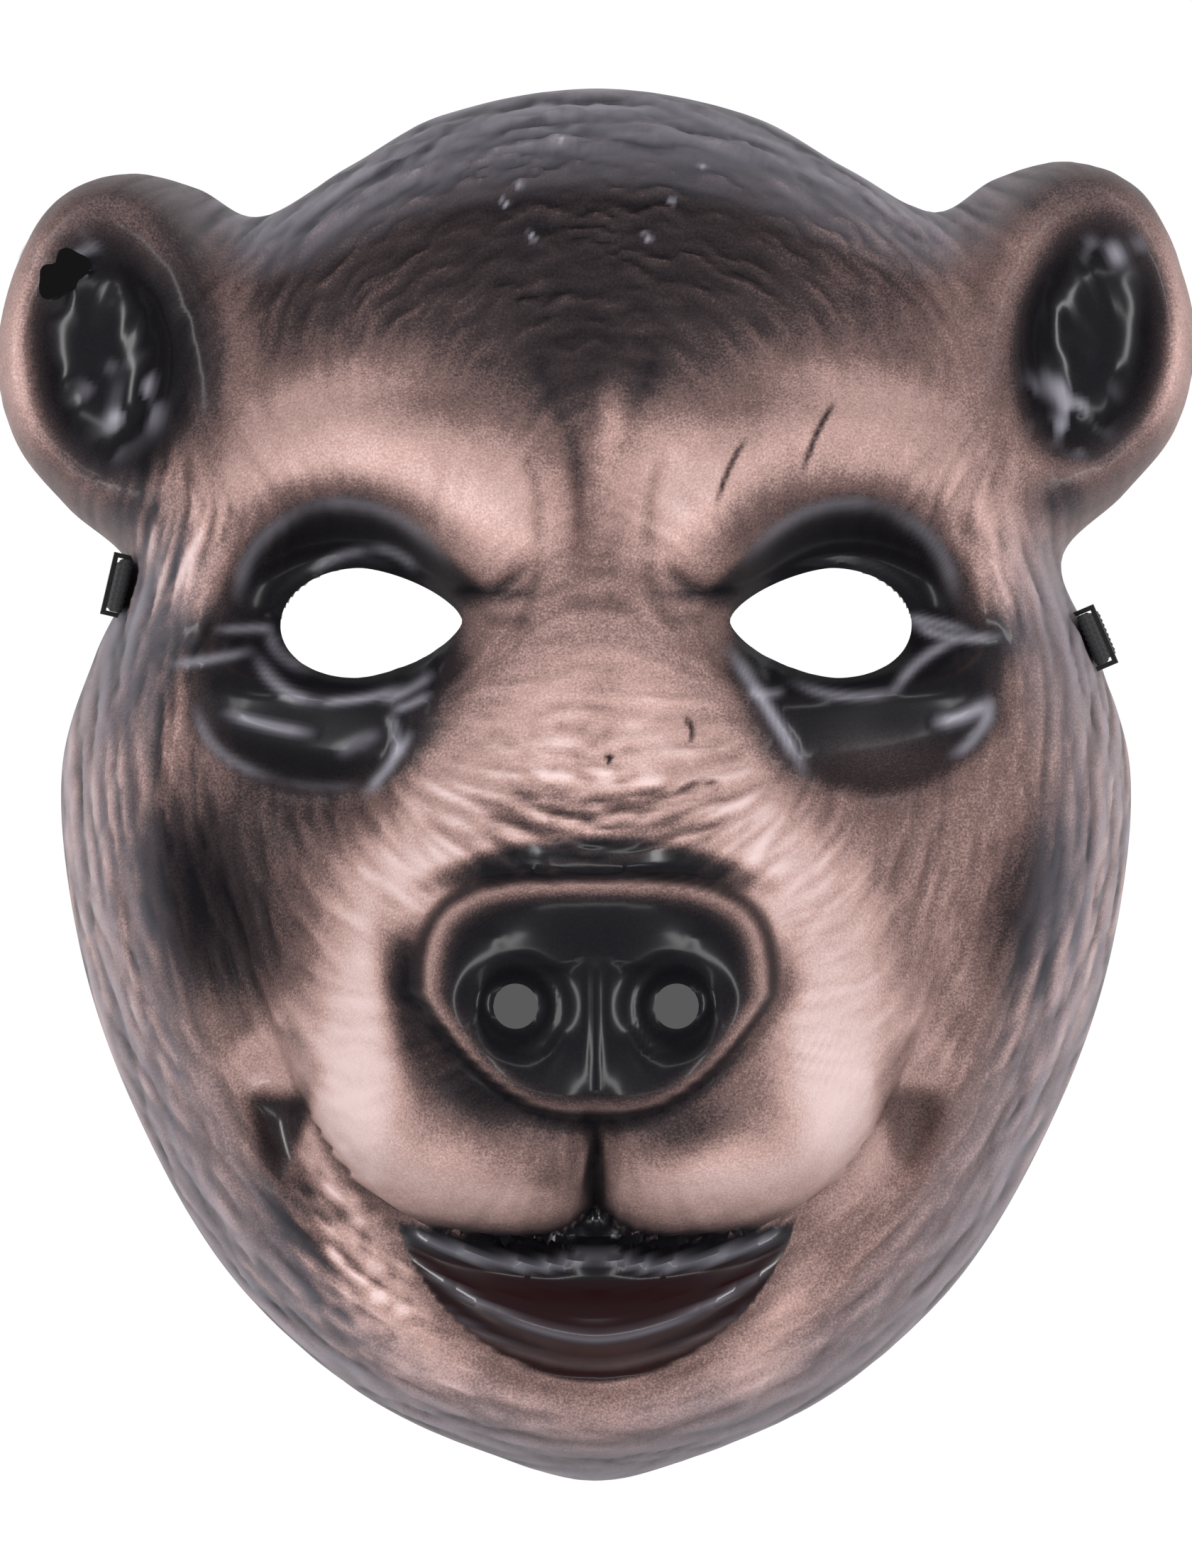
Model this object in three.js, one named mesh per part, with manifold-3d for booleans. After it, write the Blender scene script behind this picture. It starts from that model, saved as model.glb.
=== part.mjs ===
// A carnival bear mask, lying face up on its trimmed rim: one vacuum-formed plastic sheet with its ears,
// muzzle and nose, eye and nostril holes cut through, and a flat elastic strap stapled on at the temples.
// Millimetres. +Z points out of the face, +Y to the crown, +X to the right of the face as it is seen.
import * as THREE from "three";
import { mergeVertices } from "three/addons/utils/BufferGeometryUtils.js";
import Module from "manifold-3d";

// Driving sizes
const SHEET = 1.0; // thickness of the plastic sheet
const GAP = 0.3; // clearance between separate pieces
const STRAP_FLOOR = 0.5; // the strap's lower edge over the plane of the rim
const STRAP_WIDTH = 8;
const STRAP_THICK = 1.2;
const STAPLE_WIRE = 0.8;
const ARCH_HEIGHT = 3.2; // the rim is trimmed this high where the strap turns under it
// The sheet's grid of faces: even and square in the middle of the face, easing out to rings along the rim.
const RINGS = 24;
const GRID = { middle: 10, halfWide: 72, halfHigh: 88, rimCrowding: 1.3 };

// The trimmed edge, from the crown down the right side to the chin. shoulder is the width of the side wall.
const OUTLINE = [
  { at: "crown", x: 0, y: 120, shoulder: 15 },
  { at: "forehead", x: 27, y: 115, shoulder: 14 },
  { at: "temple", x: 43, y: 106, shoulder: 12 },
  { at: "ear_notch", x: 58.5, y: 98.5, shoulder: 10 },
  { at: "ear_front", x: 69, y: 104.5, shoulder: 9 },
  { at: "ear_top", x: 81, y: 107, shoulder: 8 },
  { at: "ear_corner", x: 93.5, y: 101, shoulder: 8 },
  { at: "ear_side", x: 102.3, y: 78, shoulder: 7 },
  { at: "ear_lower", x: 99.5, y: 61, shoulder: 7 },
  { at: "ear_lobe", x: 91, y: 50, shoulder: 8 },
  { at: "waist", x: 80.2, y: 38.6, shoulder: 11 },
  { at: "cheekbone", x: 86, y: 23, shoulder: 13 },
  { at: "cheek", x: 92, y: 3, shoulder: 14 },
  { at: "cheek_low", x: 88.8, y: -29, shoulder: 14 },
  { at: "jaw", x: 79.5, y: -56, shoulder: 14 },
  { at: "jaw_low", x: 63, y: -84.5, shoulder: 13 },
  { at: "chin_side", x: 41, y: -104.5, shoulder: 12 },
  { at: "chin_round", x: 18, y: -115.4, shoulder: 12 },
  { at: "chin", x: 0, y: -120, shoulder: 12 },
];

// The head without its muzzle, section by section down the face.
const HEAD_FULLNESS = 2.6;
const HEAD_SECTIONS = [
  { y: 128, half: 50, crown: 8 },
  { y: 110, half: 64, crown: 30 },
  { y: 88, half: 73, crown: 45 },
  { y: 64, half: 80, crown: 54 },
  { y: 38, half: 88, crown: 57 },
  { y: 8, half: 99, crown: 57 },
  { y: -22, half: 98, crown: 55 },
  { y: -50, half: 91, crown: 52 },
  { y: -78, half: 77, crown: 48 },
  { y: -100, half: 62, crown: 40 },
  { y: -116, half: 46, crown: 27 },
  { y: -128, half: 32, crown: 12 },
];

// What the muzzle adds to the head. edge is how sharply its sides turn down.
const MUZZLE_SECTIONS = [
  { y: 46, half: 15, lift: 0, edge: 2 },
  { y: 30, half: 18, lift: 3, edge: 2 },
  { y: 14, half: 23, lift: 12, edge: 2.1 },
  { y: 0, half: 29, lift: 23, edge: 2.2 },
  { y: -14, half: 35.5, lift: 34, edge: 2.4 },
  { y: -28, half: 41, lift: 40, edge: 2.7 },
  { y: -44, half: 45, lift: 40, edge: 3.4 },
  { y: -56, half: 46, lift: 36, edge: 4.4 },
  { y: -66, half: 44, lift: 31, edge: 5 },
  { y: -74, half: 40, lift: 26, edge: 5 },
  { y: -82, half: 36, lift: 20, edge: 4 },
  { y: -100, half: 26, lift: 0, edge: 2 },
];

// The muzzle's lower edge, from its side to the middle, where it rolls under into the mouth.
const LIP_ROLL = 14;
const LIP_SNAP = { reach: 2.2, halfWide: 46 }; // grid points this near the edge are drawn onto it
const LIP_EDGE = [
  { x: 64, y: -10 },
  { x: 56, y: -34 },
  { x: 48, y: -52 },
  { x: 43, y: -60 },
  { x: 38, y: -65.5 },
  { x: 30, y: -71 },
  { x: 19, y: -73.6 },
  { x: 7, y: -73.4 },
  { x: 0, y: -69 },
];

// Ears: a raised plate on each side of the head.
const EAR_PLATE = { x: 84, y: 75, rx: 26, ry: 37, turn: -10, power: 4, lift: 38 };
const EAR_BLEND = 10;
// The left ear sits lower than the right one, by this lift in the middle of this plan.
const LOW_EAR = { x: 84, y: 75, rx: 32, ry: 42, turn: -10, power: 3, lift: 2.6 };

// Bumps (lift over 0) and dents of the face. Rows off the middle stand on both sides. turn is in degrees,
// bend lifts both ends, corner squares the plan, power steepens the sides, taper narrows the lower half.
const FACE_FORMS = [
  { name: "ear_bowl", x: 83, y: 74.5, rx: 13.5, ry: 21.5, turn: -10, power: 1.7, lift: -13 },
  { name: "brow", x: 38, y: 54, rx: 25, ry: 10, turn: 5, bend: -5, power: 1.1, lift: 8 },
  { name: "inner_brow", x: 19, y: 42, rx: 11, ry: 8, turn: 25, power: 1.2, lift: 6 },
  { name: "frown_groove", x: 0, y: 46, rx: 3.5, ry: 12, lift: -4 },
  { name: "frown_fold", x: 7, y: 56, rx: 3.4, ry: 13, turn: -16, lift: -1.6 },
  { name: "crown_groove", x: 0, y: 88, rx: 9, ry: 24, lift: -2.5 },
  { name: "eye_socket", x: 41.5, y: 31, rx: 20.5, ry: 13, turn: 5, bend: -4, power: 2.4, lift: -15.5 },
  { name: "eye_bag", x: 46, y: 10.5, rx: 19.5, ry: 9, turn: 4, bend: 3, power: 1.5, lift: 4.5 },
  { name: "bag_fold", x: 46, y: -2.5, rx: 21, ry: 3.5, turn: 4, bend: 8, lift: -3 },
  { name: "cheekbone", x: 70, y: 4, rx: 17, ry: 22, lift: 5 },
  { name: "cheek_hollow", x: 60, y: -28, rx: 14, ry: 24, turn: 12, lift: -7 },
  { name: "nose_moat", x: 0, y: -33, rx: 33, ry: 22.5, corner: 3, power: 4, taper: 0.45, lift: -3 },
  { name: "nose_plate", x: 0, y: -33, rx: 28, ry: 18.5, corner: 3.3, power: 5, taper: 0.5, lift: 9 },
  { name: "nostril", x: 12.3, y: -34.5, rx: 7.5, ry: 7, power: 2, lift: -5 },
  { name: "philtrum", x: 0, y: -61, rx: 2.6, ry: 11, lift: -5 },
  { name: "muzzle_lobe", x: 23, y: -55, rx: 22, ry: 15, turn: -10, power: 1.6, lift: 5 },
  { name: "lip_fold", x: 0, y: -75, rx: 31, ry: 2.4, bend: 2, power: 1.5, lift: -2 },
  { name: "upper_lip", x: 0, y: -78.5, rx: 27, ry: 2.6, bend: 5, power: 1.5, lift: 3 },
  { name: "mouth_corner", x: 51, y: -58, rx: 5, ry: 9, turn: -20, power: 1.3, lift: -6 },
  { name: "lower_lip", x: 0, y: -88, rx: 25, ry: 7, bend: 7, power: 1.6, lift: 7 },
  { name: "chin_fold", x: 0, y: -98.5, rx: 25, ry: 3, bend: 9, power: 1.3, lift: -3 },
  { name: "chin", x: 0, y: -106, rx: 24, ry: 7, bend: 4, power: 1.2, lift: 5 },
];

// Holes cut through the sheet
// Eye holes are almonds: a superellipse that is sharper (corner under 2) on its inner half.
const EYE_HOLE = {
  x: 39.2,
  y: 26.6,
  inner: 17.4,
  outer: 13.2,
  top: 9.2,
  bottom: 9.3,
  innerCorner: 1.5,
  outerCorner: 2,
};
const NOSTRIL_HOLE = { x: 12.5, y: -34.5, radius: 3.5 };
const EAR_TEAR = [
  { x: -92.6, y: 81.9 },
  { x: -92.2, y: 84.8 },
  { x: -89.4, y: 87.6 },
  { x: -85.4, y: 88.7 },
  { x: -86.2, y: 86 },
  { x: -88.2, y: 84.4 },
  { x: -89.2, y: 82.2 },
];

// Where the strap is stapled on: y across the temple, and the height above the rim.
const STRAP_ENDS = [
  { side: "left", sign: -1, y: 33.6, staple: 15 },
  { side: "right", sign: 1, y: 25, staple: 15 },
];
// The strap's way across the surface that the mask lies on. lean stands it on its edge, in degrees.
const STRAP_WAY = [
  { x: -69, y: 29, lean: 0 },
  { x: -62, y: 23, lean: 30 },
  { x: -57, y: 13, lean: 60 },
  { x: -52, y: 1, lean: 78 },
  { x: -45, y: -12, lean: 85 },
  { x: -33, y: -22, lean: 85 },
  { x: -17, y: -28, lean: 85 },
  { x: 1, y: -29, lean: 85 },
  { x: 19, y: -28, lean: 85 },
  { x: 35, y: -23, lean: 85 },
  { x: 47, y: -14, lean: 85 },
  { x: 54, y: -3, lean: 78 },
  { x: 60, y: 8, lean: 60 },
  { x: 66, y: 16, lean: 30 },
  { x: 73.5, y: 20.5, lean: 0 },
];

const wasm = await Module();
wasm.setup();

const toRadians = THREE.MathUtils.degToRad;

// A closed geometry as a manifold-3d solid, and back.
function solid(geometry) {
  const bare = geometry.clone();
  bare.deleteAttribute("normal");
  bare.deleteAttribute("uv");
  const merged = mergeVertices(bare, 1e-4);
  return new wasm.Manifold(
    new wasm.Mesh({
      numProp: 3,
      vertProperties: new Float32Array(merged.attributes.position.array),
      triVerts: new Uint32Array(merged.index.array),
    }),
  );
}

function geometryOf(manifold) {
  const { vertProperties, triVerts } = manifold.getMesh();
  const geometry = new THREE.BufferGeometry();
  geometry.setAttribute("position", new THREE.BufferAttribute(vertProperties, 3));
  geometry.setIndex(new THREE.BufferAttribute(triVerts, 1));
  geometry.computeVertexNormals();
  return geometry;
}

// The value of a column where the key is at, eased between the rows of a table whose key runs downwards.
function column(table, key, at, name) {
  const last = table.length - 1;
  if (at >= table[0][key]) return table[0][name];
  if (at <= table[last][key]) return table[last][name];
  const k = table.findIndex((row) => row[key] < at) - 1;
  const rows = [Math.max(k - 1, 0), k, k + 1, Math.min(k + 2, last)].map((i) => table[i]);
  const span = rows[1][key] - rows[2][key];
  const t = (rows[1][key] - at) / span;
  const slope = (a, b) => (b[name] - a[name]) / Math.max(a[key] - b[key], 1e-6);
  const m1 = slope(rows[0], rows[2]) * span;
  const m2 = slope(rows[1], rows[3]) * span;
  const a = rows[1][name];
  const b = rows[2][name];
  return a + t * (m1 + t * (3 * (b - a) - 2 * m1 - m2 + t * (m1 + m2 - 2 * (b - a))));
}

// A rounded form: lift at its middle, falling off as exp(-rho^(2 power)) over its turned, bent plan.
function form(x, y, row) {
  const { rx, ry, lift, turn = 0, bend = 0, corner = 2, power = 1, taper = 0 } = row;
  const cos = Math.cos(toRadians(turn));
  const sin = Math.sin(toRadians(turn));
  const dx = (row.x === 0 ? x : Math.abs(x)) - row.x;
  const dy = y - row.y;
  const across = dx * cos + dy * sin;
  const along = (dy * cos - dx * sin - bend * Math.min((across / rx) ** 2, 2.25)) / ry;
  const width = rx * (1 + taper * THREE.MathUtils.clamp(along, -1.4, 0));
  const rho = (Math.abs(across / width) ** corner + Math.abs(along) ** corner) ** (1 / corner);
  return lift * Math.exp(-(rho ** (2 * power)));
}

const earDrop = (x, y) => (x < 0 ? form(x, y, LOW_EAR) : 0);

const smoothMax = (a, b, blend) => (a + b + Math.hypot(a - b, blend)) / 2 - blend / 4;

// What the muzzle adds at a place: its section, rolled under at the lip's edge.
function muzzleHeight(x, y) {
  const half = column(MUZZLE_SECTIONS, "y", y, "half");
  const fall = Math.exp(-((Math.abs(x) / half) ** column(MUZZLE_SECTIONS, "y", y, "edge")));
  const overLip = y - column(LIP_EDGE, "x", Math.abs(x), "y");
  const roll = THREE.MathUtils.clamp(overLip / LIP_ROLL, 0, 1);
  return column(MUZZLE_SECTIONS, "y", y, "lift") * fall * Math.sqrt(1 - (1 - roll) ** 2);
}

// Height of the formed sheet over the rim's plane, before the side wall takes it down to the rim.
function faceHeight(x, level) {
  const y = level + earDrop(x, level);
  const half = column(HEAD_SECTIONS, "y", y, "half");
  const fall = Math.max(0, 1 - (Math.abs(x) / half) ** HEAD_FULLNESS);
  const head = column(HEAD_SECTIONS, "y", y, "crown") * Math.sqrt(fall);
  let height = smoothMax(head, form(x, y, EAR_PLATE), EAR_BLEND) + muzzleHeight(x, y);
  for (const row of FACE_FORMS) height += form(x, y, row);
  return height;
}

// The trimmed edge as a closed curve: x, y and, as its third coordinate, the shoulder's width.
function outlineCurve() {
  const right = OUTLINE.map((row) => new THREE.Vector3(row.x, row.y, row.shoulder));
  const left = right.slice(1, -1).reverse();
  const mirrored = left.map((p) => new THREE.Vector3(-p.x, p.y - earDrop(-p.x, p.y), p.z));
  return new THREE.CatmullRomCurve3([...right, ...mirrored], true, "centripetal");
}

// The place of a grid point on its square ring, counted from the top middle. Ring i has 8 i points.
function ringPlace(right, up, ring) {
  if (right >= 0 && up === ring) return right;
  if (right === ring) return 2 * ring - up;
  if (up === -ring) return 4 * ring - right;
  if (right === -ring) return 6 * ring + up;
  return 8 * ring + right;
}

// Distance in from the trimmed edge, as a share of the side wall's width at the nearest place of the edge.
function wallShare(edge, x, y) {
  let nearest = Infinity;
  let shoulder = 1;
  edge.forEach((a, k) => {
    const b = edge[(k + 1) % edge.length];
    const dx = b.x - a.x;
    const dy = b.y - a.y;
    const t = THREE.MathUtils.clamp(((x - a.x) * dx + (y - a.y) * dy) / (dx * dx + dy * dy), 0, 1);
    const distance = Math.hypot(x - a.x - t * dx, y - a.y - t * dy);
    if (distance < nearest) {
      nearest = distance;
      shoulder = a.z;
    }
  });
  return Math.min(1, nearest / shoulder);
}

// How far a grid point moves to lie on the muzzle's lower edge, so that the edge stays crisp.
function lipShift(x, y) {
  const overLip = y - column(LIP_EDGE, "x", Math.abs(x), "y");
  const near = Math.exp(-((overLip / LIP_SNAP.reach) ** 4));
  return -overLip * near * Math.exp(-((x / LIP_SNAP.halfWide) ** 8));
}

function outerPoint(curve, edge, right, up) {
  const ring = Math.max(Math.abs(right), Math.abs(up));
  const rimPoint = curve.getPointAt(ring ? (ringPlace(right, up, ring) / (8 * ring)) % 1 : 0);
  if (ring === RINGS) return rimPoint.setZ(0);
  const reach = 1 - (1 - ring / RINGS) ** GRID.rimCrowding;
  const ease = THREE.MathUtils.smoothstep(ring, 0, RINGS);
  const x = (1 - ease) * GRID.halfWide * (right / RINGS) + ease * reach * rimPoint.x;
  const square = GRID.halfHigh * (up / RINGS);
  const even = GRID.middle + (1 - ease) * square + ease * reach * (rimPoint.y - GRID.middle);
  const y = even + lipShift(x, even);
  const wall = Math.sqrt(1 - (1 - wallShare(edge, x, y)) ** 2);
  return new THREE.Vector3(x, y, faceHeight(x, y) * wall);
}

// Two triangles for each cell of the grid, divided along the shorter of its diagonals.
function gridFaces(points, flip, offset) {
  const side = 2 * RINGS + 1;
  const faces = [];
  for (let r = 0; r < side - 1; r++)
    for (let c = 0; c < side - 1; c++) {
      const a = r * side + c;
      const quad = [a, a + 1, a + side + 1, a + side];
      const [p, q, u, v] = quad.map((k) => points[k]);
      const pair = p.distanceTo(u) < q.distanceTo(v) ? [0, 1, 2, 0, 2, 3] : [0, 1, 3, 1, 2, 3];
      const corners = pair.map((k) => quad[k] + offset);
      faces.push(...(flip ? corners.reverse() : corners));
    }
  return faces;
}

// The rim's grid points in order round the edge.
function rimLoop() {
  const side = 2 * RINGS + 1;
  const loop = [];
  for (let r = -RINGS; r <= RINGS; r++)
    for (let c = -RINGS; c <= RINGS; c++)
      if (Math.max(Math.abs(r), Math.abs(c)) === RINGS)
        loop.push({ place: ringPlace(c, r, RINGS), index: (r + RINGS) * side + c + RINGS });
  return loop.sort((a, b) => a.place - b.place).map((p) => p.index);
}

// The formed sheet: its outer face, the same face moved in by the sheet's thickness, and the flat rim.
function formedSheet() {
  const curve = outlineCurve();
  const edge = curve.getSpacedPoints(480).slice(0, -1);
  const outer = [];
  for (let r = -RINGS; r <= RINGS; r++)
    for (let c = -RINGS; c <= RINGS; c++) outer.push(outerPoint(curve, edge, c, r));
  const face = new THREE.BufferGeometry().setFromPoints(outer);
  face.setIndex(gridFaces(outer, false, 0));
  face.computeVertexNormals();
  const normals = face.getAttribute("normal");
  const rim = rimLoop();
  const onRim = new Set(rim);
  const inner = outer.map((p, i) => {
    const n = new THREE.Vector3().fromBufferAttribute(normals, i);
    if (onRim.has(i)) n.setZ(0).normalize();
    return p.clone().addScaledVector(n, -SHEET);
  });
  const count = outer.length;
  const trim = rim.flatMap((a, k) => {
    const b = rim[(k + 1) % rim.length];
    return [a, b, b + count, a, b + count, a + count];
  });
  const shell = new THREE.BufferGeometry().setFromPoints([...outer, ...inner]);
  shell.setIndex([...gridFaces(outer, false, 0), ...gridFaces(outer, true, count), ...trim]);
  return shell;
}

// A straight cutter through the sheet, from below the rim to above the nose.
function cutter(shape) {
  const depth = 140;
  const geometry = new THREE.ExtrudeGeometry(shape, { depth, bevelEnabled: false, curveSegments: 8 });
  return geometry.translate(0, 0, -10);
}

function eyeShape(sign) {
  const points = [];
  for (let k = 0; k < 30; k++) {
    const cos = Math.cos((k * Math.PI) / 15);
    const sin = Math.sin((k * Math.PI) / 15);
    const corner = cos < 0 ? EYE_HOLE.innerCorner : EYE_HOLE.outerCorner;
    const reach = (Math.abs(cos) ** corner + Math.abs(sin) ** corner) ** (-1 / corner);
    const wide = cos < 0 ? EYE_HOLE.inner : EYE_HOLE.outer;
    const high = sin < 0 ? EYE_HOLE.bottom : EYE_HOLE.top;
    const x = EYE_HOLE.x + wide * reach * cos;
    points.push(new THREE.Vector2(sign * x, EYE_HOLE.y + high * reach * sin));
  }
  return new THREE.Shape(points);
}

function nostrilShape(sign) {
  const { x, y, radius } = NOSTRIL_HOLE;
  return new THREE.Shape().absarc(sign * x, y, radius, 0, 2 * Math.PI);
}

// Where a strap end meets the side wall: a point of the rim, the direction across the strap along the wall,
// and the direction out of the wall.
function temple(sheetMesh, { sign, y, staple }) {
  const hit = (at, z) => {
    const from = new THREE.Vector3(sign * 200, at, z);
    const ray = new THREE.Raycaster(from, new THREE.Vector3(-sign, 0, 0));
    return ray.intersectObject(sheetMesh)[0].point;
  };
  const across = hit(y + STRAP_WIDTH / 2, staple).sub(hit(y - STRAP_WIDTH / 2, staple)).normalize();
  const out = new THREE.Vector3(across.y, -across.x, 0).multiplyScalar(sign);
  return { rim: hit(y, 0.2).setZ(0), across, out };
}

// How far the wall stands out at a height, at its furthest over the strap's width.
function wallOut(sheetMesh, { rim, across, out }, z) {
  const reaches = [-1, -0.5, 0, 0.5, 1].map((share) => {
    const from = rim.clone().addScaledVector(across, (share * STRAP_WIDTH) / 2);
    from.addScaledVector(out, 60).setZ(z);
    const ray = new THREE.Raycaster(from, out.clone().negate());
    return 60 - ray.intersectObject(sheetMesh)[0].distance;
  });
  return Math.max(...reaches);
}

// One end of the strap: from its cut end down the outside of the wall and in under the rim.
function strapEnd(sheetMesh, end) {
  const frame = temple(sheetMesh, end);
  const onWall = [end.staple + 6, end.staple, end.staple - 6].map((z) => {
    return { out: wallOut(sheetMesh, frame, z) + STRAP_THICK / 2 + 3 * GAP, z };
  });
  const under = [
    { out: 2.3, z: 5 },
    { out: 2.1, z: 2.6 },
    { out: 0, z: 1.2 },
    { out: -4.5, z: 1.1 },
  ];
  return [...onWall, ...under].map(({ out, z }) => {
    return { place: frame.rim.clone().addScaledVector(frame.out, out).setZ(z), across: frame.across };
  });
}

// The strap's middle line from its left end to its right end.
function strapRoute(sheetMesh) {
  const [left, right] = STRAP_ENDS.map((end) => strapEnd(sheetMesh, end));
  const floor = STRAP_WAY.map(({ x, y, lean }, k) => {
    const before = STRAP_WAY[Math.max(k - 1, 0)];
    const after = STRAP_WAY[Math.min(k + 1, STRAP_WAY.length - 1)];
    const along = new THREE.Vector3(after.x - before.x, after.y - before.y, 0).normalize();
    const side = new THREE.Vector3(-along.y, along.x, 0);
    const up = Math.sin(toRadians(lean));
    const across = side.multiplyScalar(Math.cos(toRadians(lean))).setZ(up);
    const half = (STRAP_WIDTH * up + STRAP_THICK * Math.cos(toRadians(lean))) / 2;
    return { place: new THREE.Vector3(x, y, STRAP_FLOOR + half), across };
  });
  return [...left, ...floor, ...right.reverse()];
}

// A flat band swept along the route, its section turning with the direction across it.
function band(route, steps) {
  const middle = new THREE.CatmullRomCurve3(route.map((p) => p.place), false, "centripetal");
  const turns = new THREE.CatmullRomCurve3(route.map((p) => p.across));
  const corners = [];
  for (let k = 0; k <= steps; k++) {
    const t = k / steps;
    const along = middle.getTangent(t);
    const across = turns.getPoint(t).projectOnPlane(along).normalize();
    const through = new THREE.Vector3().crossVectors(along, across);
    for (const [w, h] of [[-1, -1], [1, -1], [1, 1], [-1, 1]]) {
      const corner = middle.getPoint(t).addScaledVector(across, (w * STRAP_WIDTH) / 2);
      corners.push(corner.addScaledVector(through, (h * STRAP_THICK) / 2));
    }
  }
  const faces = [0, 2, 1, 0, 3, 2];
  for (let k = 0; k < steps; k++)
    for (let s = 0; s < 4; s++) {
      const a = 4 * k + s;
      const b = 4 * k + ((s + 1) % 4);
      faces.push(a, b, b + 4, a, b + 4, a + 4);
    }
  const end = 4 * steps;
  faces.push(end, end + 1, end + 2, end, end + 2, end + 3);
  const geometry = new THREE.BufferGeometry().setFromPoints(corners);
  geometry.setIndex(faces);
  return geometry;
}

// A wire staple over the strap: a crown outside the strap and two legs through the sheet. Its axes are
// across the strap, square out of the sloping wall, and up along the wall.
const LEG_APART = STRAP_WIDTH / 2 + 2 * GAP + STAPLE_WIRE / 2;
const CROWN_OUT = STRAP_THICK + 5 * GAP;
const LEG_IN = 2.6;

function onTemple(geometry, sheetMesh, end) {
  const frame = temple(sheetMesh, end);
  const { rim, across, out } = frame;
  const [low, middle, high] = [-3, 0, 3].map((dz) => wallOut(sheetMesh, frame, end.staple + dz));
  const up = out.clone().multiplyScalar(high - low).setZ(6).normalize();
  const square = new THREE.Vector3().crossVectors(across, up).multiplyScalar(end.sign);
  const axis = new THREE.Vector3().crossVectors(across, square);
  const origin = rim.clone().addScaledVector(out, middle).setZ(end.staple);
  return geometry.applyMatrix4(new THREE.Matrix4().makeBasis(across, square, axis).setPosition(origin));
}

function staple(sheetMesh, end) {
  const outside = LEG_APART + STAPLE_WIRE / 2;
  const inside = LEG_APART - STAPLE_WIRE / 2;
  const shape = new THREE.Shape();
  shape.moveTo(-outside, -LEG_IN).lineTo(-inside, -LEG_IN).lineTo(-inside, CROWN_OUT);
  shape.lineTo(inside, CROWN_OUT).lineTo(inside, -LEG_IN).lineTo(outside, -LEG_IN);
  shape.lineTo(outside, CROWN_OUT + STAPLE_WIRE).lineTo(-outside, CROWN_OUT + STAPLE_WIRE).closePath();
  const depth = STAPLE_WIRE;
  const geometry = new THREE.ExtrudeGeometry(shape, { depth, bevelEnabled: false });
  return onTemple(geometry.translate(0, 0, -depth / 2), sheetMesh, end);
}

function legHoles(sheetMesh, end) {
  const size = STAPLE_WIRE + 2 * GAP;
  return [-1, 1].map((side) => {
    const hole = new THREE.BoxGeometry(size, 9, size).translate(side * LEG_APART, 0, 0);
    return onTemple(hole, sheetMesh, end);
  });
}

// The low arch that is trimmed out of the rim where the strap passes under it.
function archCutter(sheetMesh, end) {
  const { rim, across, out } = temple(sheetMesh, end);
  const arch = new THREE.BoxGeometry(STRAP_WIDTH + 8 * GAP, 14, 2 * ARCH_HEIGHT);
  const up = new THREE.Vector3(0, 0, 1);
  const side = new THREE.Vector3().crossVectors(up, across);
  return arch.applyMatrix4(new THREE.Matrix4().makeBasis(across, side, up).setPosition(rim));
}

function tearShape() {
  return new THREE.Shape(EAR_TEAR.map((p) => new THREE.Vector2(p.x, p.y)));
}

// Assembly
const PAINTED_PLASTIC = new THREE.MeshStandardMaterial({ color: 0xb59086, roughness: 0.4, metalness: 0 });
const ELASTIC = new THREE.MeshStandardMaterial({ color: 0x17161a, roughness: 0.9, metalness: 0 });
const STEEL = new THREE.MeshStandardMaterial({ color: 0xb8bbc0, roughness: 0.35, metalness: 1 });

const mask = new THREE.Group();

function addPiece(name, geometry, material) {
  const mesh = new THREE.Mesh(geometry, material);
  mesh.name = name;
  mask.add(mesh);
}

const sheetGeometry = formedSheet();
const sheetMesh = new THREE.Mesh(sheetGeometry, new THREE.MeshBasicMaterial({ side: THREE.DoubleSide }));

let sheet = solid(sheetGeometry);
const cuts = [
  ...[-1, 1].map((sign) => cutter(eyeShape(sign))),
  ...[-1, 1].map((sign) => cutter(nostrilShape(sign))),
  cutter(tearShape()),
  ...STRAP_ENDS.map((end) => archCutter(sheetMesh, end)),
  ...STRAP_ENDS.flatMap((end) => legHoles(sheetMesh, end)),
];
for (const cut of cuts) sheet = sheet.subtract(solid(cut));

addPiece("mask_shell", geometryOf(sheet), PAINTED_PLASTIC);
addPiece("elastic_strap", band(strapRoute(sheetMesh), 72), ELASTIC);
for (const end of STRAP_ENDS) addPiece(`strap_staple_${end.side}`, staple(sheetMesh, end), STEEL);

export default mask;
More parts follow.
